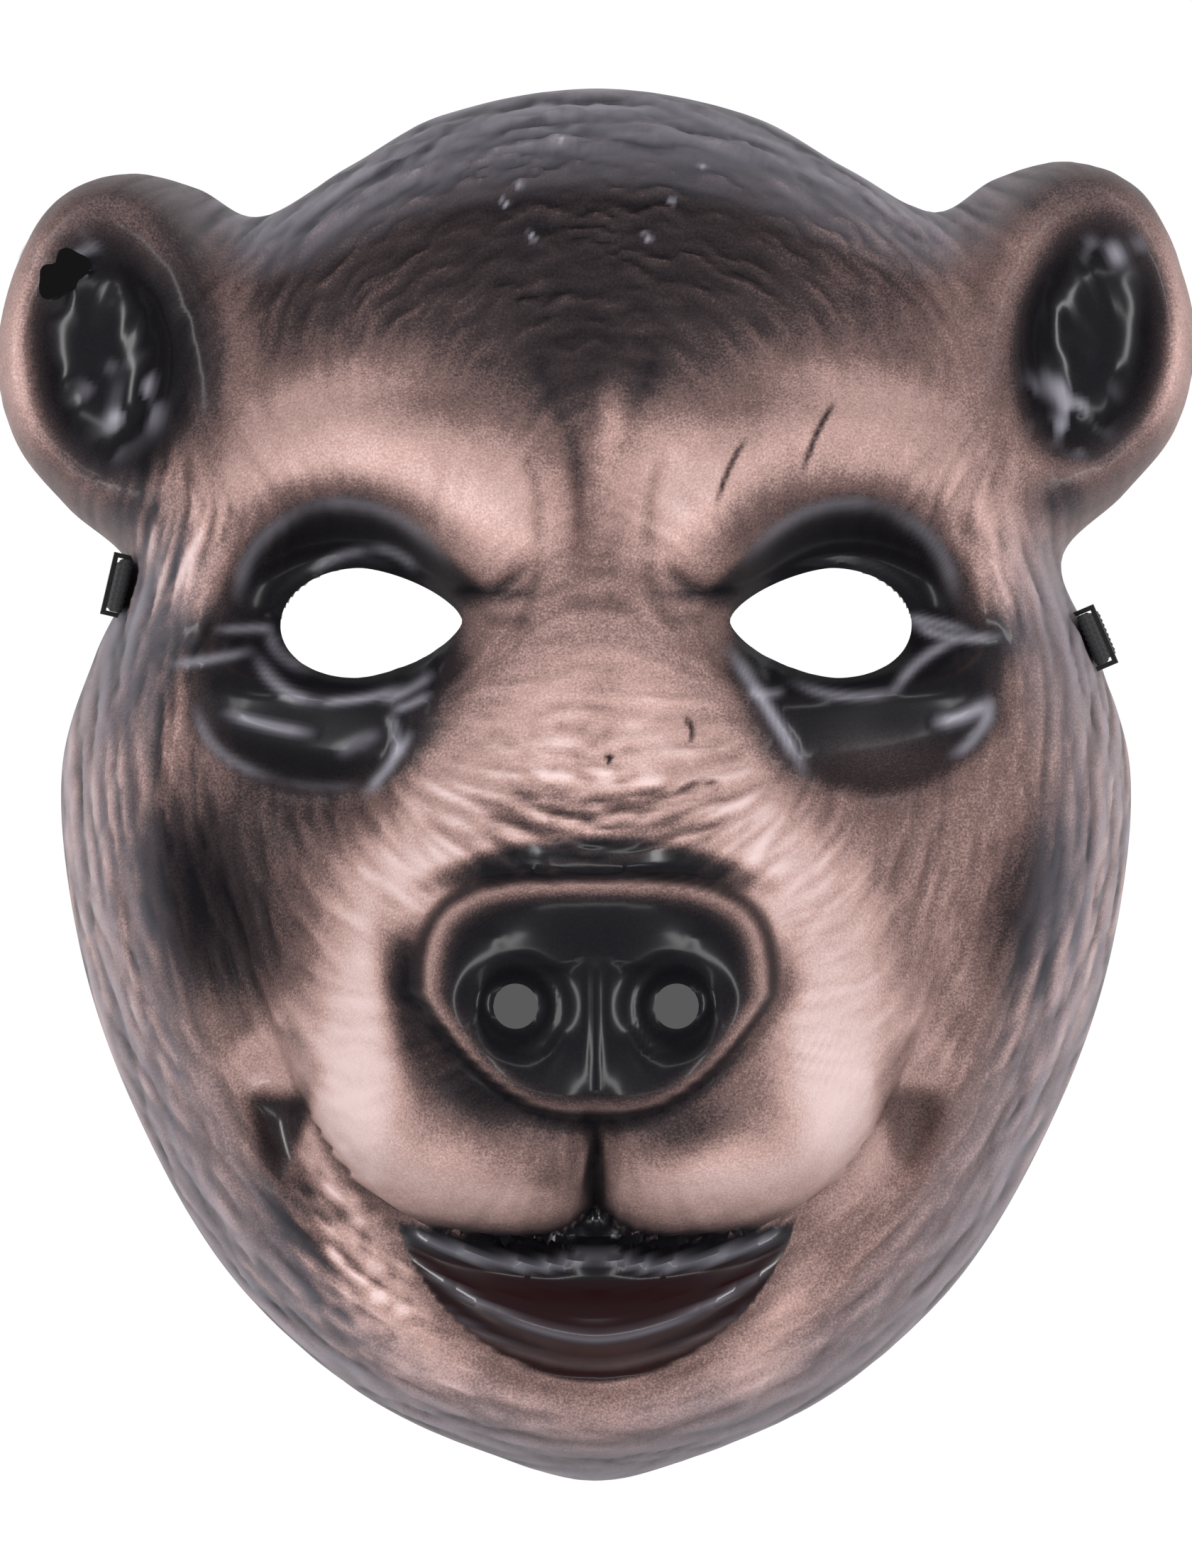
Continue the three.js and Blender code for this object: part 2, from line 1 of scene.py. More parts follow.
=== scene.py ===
import bpy
import numpy as np
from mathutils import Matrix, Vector


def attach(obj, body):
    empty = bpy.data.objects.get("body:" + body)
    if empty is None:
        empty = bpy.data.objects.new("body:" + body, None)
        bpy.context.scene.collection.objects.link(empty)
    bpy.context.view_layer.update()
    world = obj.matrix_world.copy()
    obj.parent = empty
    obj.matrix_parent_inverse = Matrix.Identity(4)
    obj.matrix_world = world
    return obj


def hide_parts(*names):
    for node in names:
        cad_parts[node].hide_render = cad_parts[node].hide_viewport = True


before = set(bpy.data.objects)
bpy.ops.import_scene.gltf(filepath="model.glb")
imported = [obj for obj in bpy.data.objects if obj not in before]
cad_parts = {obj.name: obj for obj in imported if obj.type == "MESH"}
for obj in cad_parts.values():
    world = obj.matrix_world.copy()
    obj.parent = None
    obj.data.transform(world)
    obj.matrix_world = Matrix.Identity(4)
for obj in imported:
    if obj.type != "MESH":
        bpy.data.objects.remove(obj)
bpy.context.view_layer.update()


# The formed sheet. One sheet of black plastic, about a millimetre thick, is drawn hot over a
# bear's face and trimmed along one plane. Its height over that plane is worked out here in
# millimetres, with x to the right of the face, y to the crown and z out of the face.
MM = 0.001
SHEET = 1.0
RINGS = 140
EDGE_STEPS, WALL_STEPS = 9600, 480
GRID_MIDDLE = 10.0
GRID_HALF = (72.0, 88.0)
RIM_CROWDING = 1.3

# The trimmed edge from the crown down one side to the chin: x, y, width of the side wall.
OUTLINE = np.array([
    (0, 120, 15), (27, 115, 14), (43, 106, 12), (58.5, 98.5, 10), (69, 104.5, 9), (81, 107, 8),
    (93.5, 101, 8), (102.3, 78, 7), (99.5, 61, 7), (91, 50, 8), (80.2, 38.6, 11), (86, 23, 13),
    (92, 3, 14), (88.8, -29, 14), (79.5, -56, 14), (63, -84.5, 13), (41, -104.5, 12),
    (18, -115.4, 12), (0, -120, 12),
], float)

# The head without its muzzle, down the face: y, half width, height of the crown.
HEAD_FULLNESS = 2.6
HEAD_SECTIONS = np.array([
    (128, 50, 8), (110, 64, 30), (88, 73, 45), (64, 80, 54), (38, 88, 57), (8, 99, 57),
    (-22, 98, 55), (-50, 91, 52), (-78, 77, 48), (-100, 62, 40), (-116, 46, 27), (-128, 32, 12),
], float)

# What the muzzle adds: y, half width, lift, how sharply its sides turn down.
MUZZLE_SECTIONS = np.array([
    (46, 15, 0, 2), (30, 18, 3, 2), (14, 23, 12, 2.1), (0, 29, 23, 2.2), (-14, 35.5, 34, 2.4),
    (-28, 41, 40, 2.7), (-44, 45, 40, 3.4), (-56, 46, 36, 4.4), (-66, 44, 31, 5),
    (-74, 40, 26, 5), (-82, 36, 20, 4), (-100, 26, 0, 2),
], float)

# The muzzle's lower edge from its side to the middle, where it rolls under: x, y.
LIP_ROLL = 14.0
LIP_EDGE = np.array([
    (64, -10), (56, -34), (48, -52), (43, -60), (38, -65.5), (30, -71), (19, -73.6), (7, -73.4),
    (0, -69),
], float)


def oval(cx, cy, rx, ry, turn=0, **more):
    """An oval's middle, half sizes and turn, and what else plan() takes, by their names."""
    return dict(cx=cx, cy=cy, rx=rx, ry=ry, turn=turn, **more)


EAR_HEIGHT = 38
EAR_BLEND = 10.0
LEFT_EAR_DROP = 2.6
LEFT_EAR = oval(84, 75, 32, 42, -10, side=-1)
EAR_PLATE = oval(84, 75, 26, 37, -10)
EYE_SOCKET = oval(41.5, 31, 20.5, 13, 5, bend=-4)
EYE_BAG = oval(46, 10.5, 19.5, 9, 4, bend=3)
EAR_BOWL = oval(83, 74.5, 13.5, 21.5, -10)
EAR_BOWL_FOOT = oval(79, 63, 7, 8, -10)
EAR_BOWL_TOP = oval(88, 89, 6, 3, -10)
NOSE_PLATE = oval(0, -33, 27.8, 18.4, corner=3.3, taper=0.5)
NOSE_EDGE = 0.94

# Bumps and dents: lift in the middle, how steep the sides are, and the plan.
FACE_FORMS = [
    (-13, 1.7, EAR_BOWL),
    (8, 1.1, oval(38, 54, 25, 10, 5, bend=-5)),
    (6, 1.2, oval(19, 42, 11, 8, 25)),
    (-4, 1, oval(0, 46, 3.5, 12)),
    (-1.6, 1, oval(7, 56, 3.4, 13, -16)),
    (-2.5, 1, oval(0, 88, 9, 24)),
    (-15.5, 2.4, EYE_SOCKET),
    (4.5, 1.5, EYE_BAG),
    (-3, 1, oval(46, -2.5, 21, 3.5, 4, bend=8)),
    (5, 1, oval(70, 4, 17, 22)),
    (-7, 1, oval(60, -28, 14, 24, 12)),
    (-3, 4, oval(0, -33, 33, 22.5, corner=3, taper=0.45)),
    (9, 9, NOSE_PLATE),
    (-5, 2, oval(12.3, -34.5, 7.5, 7)),
    (-5, 1, oval(0, -61, 2.6, 11)),
    (5, 1.6, oval(23, -55, 22, 15, -10)),
    (-2, 1.5, oval(0, -75, 31, 2.4, bend=2)),
    (3, 1.5, oval(0, -78.5, 27, 2.6, bend=5)),
    (-6, 1.3, oval(51, -58, 5, 9, -20)),
    (7, 1.6, oval(0, -88, 25, 7, bend=7)),
    (-3, 1.3, oval(0, -98.5, 25, 3, bend=9)),
    (5, 1.2, oval(0, -106, 24, 7, bend=4)),
    (-1.8, 3, oval(0, -37, 21, 10.5, corner=3, taper=0.35)),
]


def held(value):
    """The value, kept between 0 and 1."""
    return np.clip(value, 0, 1)


def bell(off, width, power=2):
    """1 in the middle, falling on both sides as exp(-(off / width)^power)."""
    return np.exp(-(off / width) ** power)


def eased(table, at, column):
    """A table's column where its first column, which runs downwards, has the value at: cubic
    pieces whose slope at each row is that of the chord between the rows on either side."""
    keys, values = table[::-1, 0], table[::-1, column]
    k = np.clip(np.searchsorted(keys, at) - 1, 0, len(keys) - 2)
    before, after = np.maximum(k - 1, 0), np.minimum(k + 2, len(keys) - 1)
    span = keys[k + 1] - keys[k]
    t = held((at - keys[k]) / span)
    m1 = (values[k + 1] - values[before]) / (keys[k + 1] - keys[before]) * span
    m2 = (values[after] - values[k]) / (keys[after] - keys[k]) * span
    rise = values[k + 1] - values[k]
    return values[k] + t * (m1 + t * (3 * rise - 2 * m1 - m2 + t * (m1 + m2 - 2 * rise)))


def plan(x, y, cx, cy, rx, ry, turn=0.0, bend=0.0, corner=2.0, taper=0.0, side=0):
    """Distance from the middle of an oval, 1 on its edge. The oval is turned, both its ends are
    lifted by bend, corner squares it and taper narrows its lower half. Off the middle line it
    stands on both sides of the face, or on one if side is -1 or 1."""
    mirrored = side * x if side else (np.abs(x) if cx else x)
    cos, sin = np.cos(np.radians(turn)), np.sin(np.radians(turn))
    across = (mirrored - cx) * cos + (y - cy) * sin
    along = (y - cy) * cos - (mirrored - cx) * sin
    along = (along - bend * np.minimum((across / rx) ** 2, 2.25)) / ry
    width = rx * (1 + taper * np.clip(along, -1.4, 0))
    return (np.abs(across / width) ** corner + np.abs(along) ** corner) ** (1 / corner)


def swell(x, y, power=1.0, **oval):
    """A soft mound, 1 in the middle of an oval and falling as exp(-distance^(2 power))."""
    return np.exp(-plan(x, y, **oval) ** (2 * power))


def over_lip(x, y):
    """How far a place is above the muzzle's lower edge."""
    return y - eased(LIP_EDGE, np.abs(x), 1)


def ear_drop(x, y):
    """How much lower the left ear is drawn than the right one."""
    return LEFT_EAR_DROP * swell(x, y, power=3, **LEFT_EAR)


def face_height(x, y):
    """Height of the sheet before its side wall: the head's sections, joined smoothly to the
    ears' plates, plus the muzzle's sections rolled under at the lip, plus the bumps and dents."""
    y = y + ear_drop(x, y)
    fall = np.maximum(0, 1 - (np.abs(x) / eased(HEAD_SECTIONS, y, 1)) ** HEAD_FULLNESS)
    head = eased(HEAD_SECTIONS, y, 2) * np.sqrt(fall)
    ears = EAR_HEIGHT * swell(x, y, power=4, **EAR_PLATE)
    height = (head + ears + np.hypot(head - ears, EAR_BLEND)) / 2 - EAR_BLEND / 4
    flank = np.exp(-(np.abs(x) / eased(MUZZLE_SECTIONS, y, 1)) ** eased(MUZZLE_SECTIONS, y, 3))
    roll = held(over_lip(x, y) / LIP_ROLL)
    height = height + eased(MUZZLE_SECTIONS, y, 2) * flank * np.sqrt(1 - (1 - roll) ** 2)
    for lift, power, form in FACE_FORMS:
        height = height + lift * swell(x, y, power=power, **form)
    return height


def cubic_piece(f, p0, p1, p2, p3, d0, d1, d2):
    """The share f of a centripetal cubic piece from p1 to p2. With d the square roots of the three
    chords' lengths, its slope at an end is that of the parabola through that end's neighbours."""
    rise = p2 - p1
    m1 = ((p1 - p0) / d0 - (p2 - p0) / (d0 + d1) + rise / d1) * d1
    m2 = (rise / d1 - (p3 - p1) / (d1 + d2) + (p3 - p2) / d2) * d1
    return p1 + f * (m1 + f * (3 * rise - 2 * m1 - m2 + f * (m1 + m2 - 2 * rise)))


def run_along(points):
    """Length along a line of points up to each of them."""
    return np.append(0, np.cumsum(np.linalg.norm(np.diff(points, axis=0), axis=1)))


def way_out(grid):
    """Out of a grid of points: the cross product of its steps to the right and up."""
    return np.cross(np.gradient(grid, axis=1), np.gradient(grid, axis=0))


def unit(vectors):
    """Vectors with their length made 1."""
    return vectors / np.linalg.norm(vectors, axis=-1, keepdims=True)


def trimmed_edge(count):
    """The closed curve through the outline and its mirror image (centripetal cubic pieces),
    as count points at equal steps: x, y, width of the side wall."""
    knots = np.vstack([OUTLINE, OUTLINE[-2:0:-1] * (-1, 1, 1)])
    knots[:, 1] -= ear_drop(knots[:, 0], knots[:, 1])
    t = np.linspace(0, len(knots), EDGE_STEPS, endpoint=False)
    k = t.astype(int)
    f = (t - k)[:, None]
    p = [knots[(k + step) % len(knots)] for step in (-1, 0, 1, 2)]
    d = [np.linalg.norm(b - a, axis=1)[:, None] ** 0.5 for a, b in zip(p, p[1:])]
    curve = cubic_piece(f, *p, *d)
    closed = np.vstack([curve, curve[:1]])
    run = run_along(closed)
    steps = np.linspace(0, run[-1], count, endpoint=False)
    return np.stack([np.interp(steps, run, closed[:, i]) for i in range(3)], 1)


def wall_share(x, y):
    """Distance in from the trimmed edge as a share of the side wall's width there."""
    edge = trimmed_edge(WALL_STEPS)
    a = edge[:, :2]
    ab = np.roll(a, -1, 0) - a
    shares = []
    for place in np.array_split(np.stack([x.ravel(), y.ravel()], 1), 40):
        to = place[:, None] - a
        t = held((to * ab).sum(-1) / (ab ** 2).sum(-1))
        gap = ((to - t[..., None] * ab) ** 2).sum(-1)
        near = gap.argmin(1)
        shares.append(np.sqrt(gap.min(1)) / edge[near, 2])
    return np.concatenate(shares).reshape(x.shape)


# Fine folds as drawn lines: three points of a bent line, width, lift, and side as for an oval.
FOLDS = [
    # nose: crease under the pad, wings over the nostrils, septum, folds under the nostrils
    (22, -23.2, 18, -24.6, 14, -24, 1, 0.35, 0),
    (19.8, -34, 18.8, -26.4, 10, -27.2, 0.8, 0.3, 0),
    (10.8, -27.2, 4, -28.8, 1.3, -24.6, 0.8, 0.45, 0),
    (1.9, -26, 1.7, -36, 1.7, -47, 0.75, 0.12, 0),
    (-0.1, -26, -0.1, -36, -0.1, -48, 0.8, -0.5, 1),
    (18.8, -33, 19, -44, 8.4, -43, 1, 0.7, 0),
    (9.4, -43.4, 5.4, -42.6, 5.4, -37, 0.9, 0.5, 0),
    # eyes: inner corners
    (23, 32.4, 16, 29.2, 10.6, 35.8, 1.1, -1.3, 0),
    (23, 30, 18.5, 29.8, 14.5, 30.2, 0.7, 0.6, 0),
    (19, 27, 15, 26.2, 10.5, 26.8, 1, -0.6, 0),
    # frown
    (12, 74, 4.6, 60, 1.8, 46, 2, -0.5, 0),
    (-11.8, 55, -8, 46, -9.6, 36, 1.2, -0.7, 1),
    (-9.2, 38, -9.4, 30, -14.4, 22.6, 1.2, -0.6, 1),
    (10.8, 54, 7.4, 46, 8.4, 36, 1.2, -0.7, 1),
    (8.2, 38, 8.2, 31, 12.8, 25, 1.2, -0.6, 1),
    (-3.8, 58, -2.4, 48, -2.8, 36, 1.3, -0.8, 1),
    (6, 36, 0, 33.4, -6, 36, 1.1, -0.35, 1),
    (7, 30, 0, 28, -7, 30, 1.1, -0.4, 1),
    # ears: the fold along the head, and the bowl's inner edge
    (80, 91, 65, 80, 75.5, 57, 1.8, 1.3, 0),
    (76, 86, 69, 75, 77, 61, 1.2, -0.7, 0),
    (92, 88, 99, 76, 91, 60, 1.3, 0.7, 0),
    # muzzle and cheeks
    (0, -51, -0.4, -61, -0.4, -71, 0.9, -0.8, 1),
    (58.5, -51.4, 52.5, -47.4, 46.5, -51.6, 1.3, 1.1, 0),
    (48.4, -52.5, 49.6, -57, 48.6, -62, 1.2, 0.7, 0),
]

# Ridges round the eyes, drawn in the same way.
EYE_RIDGES = [
    # left: lids, outline of the bag, folds on it and beside the muzzle
    (71, 19.6, 63, 20.2, 55.6, 22.2, 0.9, 0.6, -1),
    (56.4, 22, 51.6, 13.6, 44.6, 13.4, 0.95, 0.65, -1),
    (46.4, 13.4, 37.5, 13, 30.5, 16.2, 0.8, 0.6, -1),
    (63.5, 25.4, 57, 25.9, 53, 25.9, 0.8, 0.5, -1),
    (53.8, 26.4, 54.6, 20.8, 45.6, 18.2, 0.95, 0.45, -1),
    (65.6, 14, 65, 3.2, 50.5, 0.4, 1, 0.45, -1),
    (53, 0.7, 45, -1.2, 37.5, -0.2, 0.9, 0.2, -1),
    (61.4, 12.2, 54, 9, 44.6, 8, 1, 0.6, -1),
    (42.4, 4.4, 39, 6.6, 34, 8.6, 1.2, 0.3, -1),
    (35, 13.4, 29.5, 15, 26, 18.6, 0.85, 0.6, -1),
    (33.4, 11.8, 29.6, 12.6, 26.2, 15.2, 0.8, 0.5, -1),
    (29.6, 9, 33.2, 2, 38, -2, 0.9, 0.75, -1),
    (33.6, 12, 31.2, 8, 33, 3.6, 0.8, 0.4, -1),
    # right: lids, folds on the bag and beside the muzzle
    (50.6, 27.8, 54.5, 27.4, 63, 24.9, 0.8, 0.6, 1),
    (52, 27, 58.4, 22.6, 67.6, 24.6, 0.8, 0.75, 1),
    (60, 23.8, 53.4, 22, 47.6, 14.4, 0.8, 0.85, 1),
    (50.4, 15.8, 40, 12.2, 30.6, 17.2, 0.8, 0.5, 1),
    (54, 10, 60, 10, 65.2, 14.2, 1.2, 0.75, 1),
    (65, 14.4, 63.6, 6.6, 57, 4.2, 1, 0.6, 1),
    (20.8, 23.4, 27, 14, 35, -0.4, 1, 0.75, 1),
    (24.2, 15.3, 27, 14, 31, 15.4, 0.8, 0.5, 1),
    # over the sockets: their rounded upper edges, and the upper lids
    (59.6, 29.4, 59, 41.4, 46, 45.4, 1.1, 0.42, 0),
    (50.6, 44.4, 34, 49.6, 22.8, 34.6, 1.1, 0.42, 0),
    (47.4, 34.6, 43, 39, 36, 38.5, 0.8, 0.4, -1),
    (37.8, 38.8, 32.6, 39.2, 29, 34.6, 0.8, 0.4, -1),
]


def fold_relief(x, y, lines):
    """Each fold adds lift exp(-(distance / width)^2) round its bent line, fading out at its ends."""
    relief = np.zeros_like(x)
    t = np.linspace(0, 1, 49)
    for x0, y0, x1, y1, x2, y2, width, lift, side in lines:
        line_x = (1 - t) ** 2 * x0 + 2 * t * (1 - t) * x1 + t ** 2 * x2
        line_y = (1 - t) ** 2 * y0 + 2 * t * (1 - t) * y1 + t ** 2 * y2
        mirrored = side * x if side else np.abs(x)
        reach = 3 * width
        near = (mirrored > line_x.min() - reach) & (mirrored < line_x.max() + reach)
        near &= (y > line_y.min() - reach) & (y < line_y.max() + reach)
        gap = (mirrored[near][:, None] - line_x) ** 2 + (y[near][:, None] - line_y) ** 2
        place = t[gap.argmin(1)]
        fade = held(4 * place) * held(4 - 4 * place)
        relief[near] += lift * fade * np.exp(-gap.min(1) / width ** 2)
    return relief


# Lines along the mouth: depth at the middle, rise of the ends, how late they rise, width, lift.
# The first is the upper lip, which is also drawn up in the middle by a bow of this height and width.
MOUTH_HALF = 31
LIP_BOW = (2.2, 6.5)
MOUTH_LINES = [
    (-79.2, 5.5, 2.2, 1.2, 1.4),
    (-84.4, 9.0, 2.2, 1.4, -0.6),
    (-90.5, 12.7, 1.7, 1.0, 1.0),
    (-93.4, 13.6, 1.8, 1.0, -0.5),
    (-95.8, 14.6, 1.9, 1.1, 0.7),
]


def mouth_relief(x, y):
    """Each line adds lift exp(-(distance / width)^2) along the curve depth + rise (x / half)^late,
    and the upper lip's curve has a bow more, height exp(-(x / width)^2)."""
    relief = np.zeros_like(x)
    reach = np.abs(x) / MOUTH_HALF
    for k, (depth, rise, late, width, lift) in enumerate(MOUTH_LINES):
        line = depth + rise * reach ** late
        slope = rise * late * reach ** (late - 1) / MOUTH_HALF
        if k == 0:
            line = line + LIP_BOW[0] * bell(x, LIP_BOW[1])
        gap = (y - line) / np.hypot(1, slope) / width
        relief += lift * np.exp(-gap ** 2) * np.exp(-reach ** 12)
    return relief


EYE_X, EYE_Y = 39.2, 26.6
NOSTRIL_X, NOSTRIL_Y, NOSTRIL_RADIUS = 12.5, -34.5, 3.5
TEAR_X, TEAR_Y, TEAR_RADIUS = -89.2, 85.4, 3.7


def eye_reach(side):
    """An almond: an oval that is sharper on its inner half."""
    def reach(angle):
        cos, sin = side * np.cos(angle), np.sin(angle)
        corner = np.where(cos < 0, 1.5, 2.0)
        wide = np.abs(cos) / np.where(cos < 0, 17.4, 13.2)
        high = np.abs(sin) / np.where(sin < 0, 9.3, 9.2)
        return (wide ** corner + high ** corner) ** (-1 / corner)
    return reach


def nostril_reach(angle):
    """A circle."""
    return np.full_like(angle, NOSTRIL_RADIUS)


def tear_reach(angle):
    """A ragged tear: a long oval with five shallow teeth."""
    return TEAR_RADIUS * (1 + 0.32 * np.cos(2 * angle - 1.5) + 0.12 * np.sin(5 * angle))


# Holes through the sheet: middle, and the distance from it to the cut edge in each direction.
HOLES = [
    (-EYE_X, EYE_Y, eye_reach(-1)),
    (EYE_X, EYE_Y, eye_reach(1)),
    (-NOSTRIL_X, NOSTRIL_Y, nostril_reach),
    (NOSTRIL_X, NOSTRIL_Y, nostril_reach),
    (TEAR_X, TEAR_Y, tear_reach),
]


def hole_share(x, y, hole):
    """Distance from a hole's middle as a share of its reach in that direction."""
    cx, cy, reach = hole
    return np.hypot(x - cx, y - cy) / reach(np.arctan2(y - cy, x - cx))


# From how near points are drawn onto the lip's and the nose's edge, and how far out the lip's runs;
# from which shares of a hole they are drawn onto its edge, and how often the rest follows.
LIP_PULL, NOSE_PULL, LIP_HALF = 0.45, 0.28, 46
HOLE_PULL, FOLLOWING = (0.3, 2.2), 120


def sheet_grid():
    """The sheet's grid in plan: square in the middle of the face, easing out to rings along the
    trimmed edge. Points by the lip's and the nose's edge and by the holes are drawn onto them."""
    step = np.arange(-RINGS, RINGS + 1)
    right, up = np.meshgrid(step, step)
    ring = np.maximum(np.abs(right), np.abs(up))
    place = np.select(
        [(right >= 0) & (up == ring), right == ring, up == -ring, right == -ring],
        [right, 2 * ring - up, 4 * ring - right, 6 * ring + up], 8 * ring + right)
    edge = trimmed_edge(EDGE_STEPS)
    turn = place / np.maximum(8 * ring, 1) % 1 * len(edge)
    closed = np.vstack([edge, edge[:1]])
    rim_x, rim_y = (np.interp(turn, np.arange(len(closed)), closed[:, i]) for i in (0, 1))
    share = ring / RINGS
    reach = 1 - (1 - share) ** RIM_CROWDING
    ease = share ** 2 * (3 - 2 * share)
    x = (1 - ease) * GRID_HALF[0] * right / RINGS + ease * reach * rim_x
    y = GRID_MIDDLE + (1 - ease) * GRID_HALF[1] * up / RINGS + ease * reach * (rim_y - GRID_MIDDLE)
    lip = over_lip(x, y)
    y = y - lip * bell(lip, LIP_PULL, 4) * bell(x, LIP_HALF, 8)
    share = plan(x, y, **NOSE_PLATE)
    off_edge = (1 - NOSE_EDGE / share) * np.hypot(x, y - NOSE_PLATE["cy"])
    pull = (NOSE_EDGE / share - 1) * bell(off_edge, NOSE_PULL, 4)
    x, y = x + x * pull, y + (y - NOSE_PLATE["cy"]) * pull
    cut = np.zeros((RINGS, RINGS), bool)
    for hole in HOLES:
        cut |= hole_share(x[1::2, 1::2], y[1::2, 1::2], hole) < 1
    cells = np.pad(np.repeat(np.repeat(cut, 2, 0), 2, 1).astype(float), 1)
    corners = cells[1:, 1:] + cells[1:, :-1] + cells[:-1, 1:] + cells[:-1, :-1]
    on_cut = (corners > 0) & (corners < 4)
    moved = np.zeros(x.shape + (2,))
    for hole in HOLES:
        part = hole_share(x, y, hole)
        mine = on_cut & (part > HOLE_PULL[0]) & (part < HOLE_PULL[1])
        to = 1 / part[mine] - 1
        moved[mine] = np.stack([to * (x[mine] - hole[0]), to * (y[mine] - hole[1])], 1)
    drawn = moved.copy()
    for _ in range(FOLLOWING):
        mean = sum(np.roll(drawn, step, axis) for axis in (0, 1) for step in (1, -1)) / 4
        drawn = np.where(on_cut[..., None], moved, mean)
    return x + drawn[..., 0], y + drawn[..., 1], cut


# Fur. Fine ridges and furrows are pressed into the sheet all over the head: ripples across the
# forehead, streaks along the cheeks, a fan over the brows, rays round the nose, dapples on the jaw
# and long strands combed down the side walls. The ears' bowls are crumpled.
STREAK_DEPTH, RIPPLE_DEPTH, CRUMPLE_DEPTH, STRAND_DEPTH = 0.2, 0.34, 0.13, 0.2
FUR_RASTER = 0.4
FUR_HALF = (108.0, 126.0)
FUR_LIMIT = 2.2
JAW_DAPPLES = oval(40, -78, 10, 19, -22, side=-1)
BRIDGE_DAPPLES = oval(0, 1, 19, 11)


def fur_direction(x, y):
    """The way the hair lies, as the angle of the strongest of four lays: round the face, out
    from the nose, up from the brows, and across the bridge. Angles are doubled to be averaged."""
    side = np.where(x < 0, -1, 1)
    round_face = np.arctan2(x / 0.62, -(y - 5))
    nose_rays = np.arctan2(y + 28, x)
    brow_fan = np.arctan2(y - 22, x - side * 24)
    near_nose = 2.5 * bell(np.hypot(x, y + 32), 45, 6)
    near_brow = 3 * swell(x, y, cx=36, cy=56, rx=32, ry=15, turn=5)
    near_bridge = 8 * swell(x, y, power=2, cx=0, cy=2, rx=24, ry=17)
    lays = ((round_face, 1.0), (nose_rays, near_nose), (brow_fan, near_brow), (0 * x, near_bridge))
    cos = sum(weight * np.cos(2 * angle) for angle, weight in lays)
    sin = sum(weight * np.sin(2 * angle) for angle, weight in lays)
    return np.arctan2(sin, cos) / 2


def pressed_strokes(seed, count, lengths, blur, broad, pitch=0.0):
    """Seeded strokes along the hair's direction, added up on a fine raster, blurred to a width
    and freed of everything broader. With a pitch they lie in rings that far apart."""
    rng = np.random.default_rng(seed)
    x, y = (rng.uniform(-half, half, count) for half in FUR_HALF)
    length = rng.uniform(*lengths, count)
    lift = rng.uniform(0.3, 1.0, count) * np.where(rng.random(count) < 0.5, -1, 1)
    if pitch:
        ring = np.hypot(x / 0.8, y - 5)
        pull = (pitch * np.round(ring / pitch) + rng.normal(0, 0.2 * pitch, count)) / ring
        x, y, lift = x * pull, 5 + (y - 5) * pull, np.abs(lift)
    along = np.linspace(-0.5, 0.5, 65)[:, None]
    angle = fur_direction(x, y)
    sway = rng.normal(0, 0.016, count) * (along * length) ** 2
    line_x = x + along * length * np.cos(angle) - sway * np.sin(angle)
    line_y = y + along * length * np.sin(angle) + sway * np.cos(angle)
    taper = np.cos(np.pi * along) * lift * length
    columns = np.round((line_x + FUR_HALF[0]) / FUR_RASTER).astype(int)
    rows = np.round((line_y + FUR_HALF[1]) / FUR_RASTER).astype(int)
    shape = tuple(int(2 * half / FUR_RASTER) + 1 for half in FUR_HALF[::-1])
    inside = (columns >= 0) & (columns < shape[1]) & (rows >= 0) & (rows < shape[0])
    raster = np.zeros(shape)
    np.add.at(raster, (rows[inside], columns[inside]), taper[inside])
    wave = np.hypot(np.fft.fftfreq(shape[0])[:, None], np.fft.fftfreq(shape[1])) / FUR_RASTER
    narrow, wide = (np.exp(-2 * (np.pi * width * wave) ** 2) for width in (blur, broad))
    raster = np.fft.ifft2(np.fft.fft2(raster) * (narrow - wide)).real
    return np.clip(raster / raster.std(), -FUR_LIMIT, FUR_LIMIT)


def sampled(raster, x, y):
    """The raster's value at a place, averaged from its four nearest cells."""
    column = np.clip((x + FUR_HALF[0]) / FUR_RASTER, 0, raster.shape[1] - 1.001)
    row = np.clip((y + FUR_HALF[1]) / FUR_RASTER, 0, raster.shape[0] - 1.001)
    c, r = column.astype(int), row.astype(int)
    u, v = column - c, row - r
    low = raster[r, c] * (1 - u) + raster[r, c + 1] * u
    high = raster[r + 1, c] * (1 - u) + raster[r + 1, c + 1] * u
    return low * (1 - v) + high * v


# Where the hair is left out or softened: how much of it goes, how sharp the edge is, the plan.
BARE = [
    (1, 2.5, oval(39, 31, 27, 15, -4, bend=-4)),
    (1, 2.5, oval(46, 10, 22, 12, 4, bend=3)),
    (1, 4, oval(0, -33, 30, 20, corner=3.3, taper=0.5)),
    (0.93, 1.6, oval(24, -58, 25, 15, -10)),
    (0.6, 1.2, oval(40, -36, 13, 22, 8)),
    (0.75, 2.5, EAR_PLATE),
    (1, 3, oval(83, 74.5, 16, 24, -10)),
    (1, 2, oval(0, -84, 34, 15, bend=7)),
    (0.6, 1.2, oval(0, -106, 26, 8, bend=4)),
    (0.5, 1.2, oval(14, 47, 10, 11)),
    (0.9, 2, oval(51, -57, 7, 11, -20)),
    (0.45, 1.2, oval(0, 14, 18, 26)),
    (0.85, 1.4, oval(34, 58, 34, 15, 4)),
]


def hairiness(x, y):
    """Share of the fur's full depth at a place."""
    share = np.ones_like(x)
    for gone, power, form in BARE:
        share = share * (1 - gone * swell(x, y, power=power, **form))
    return share


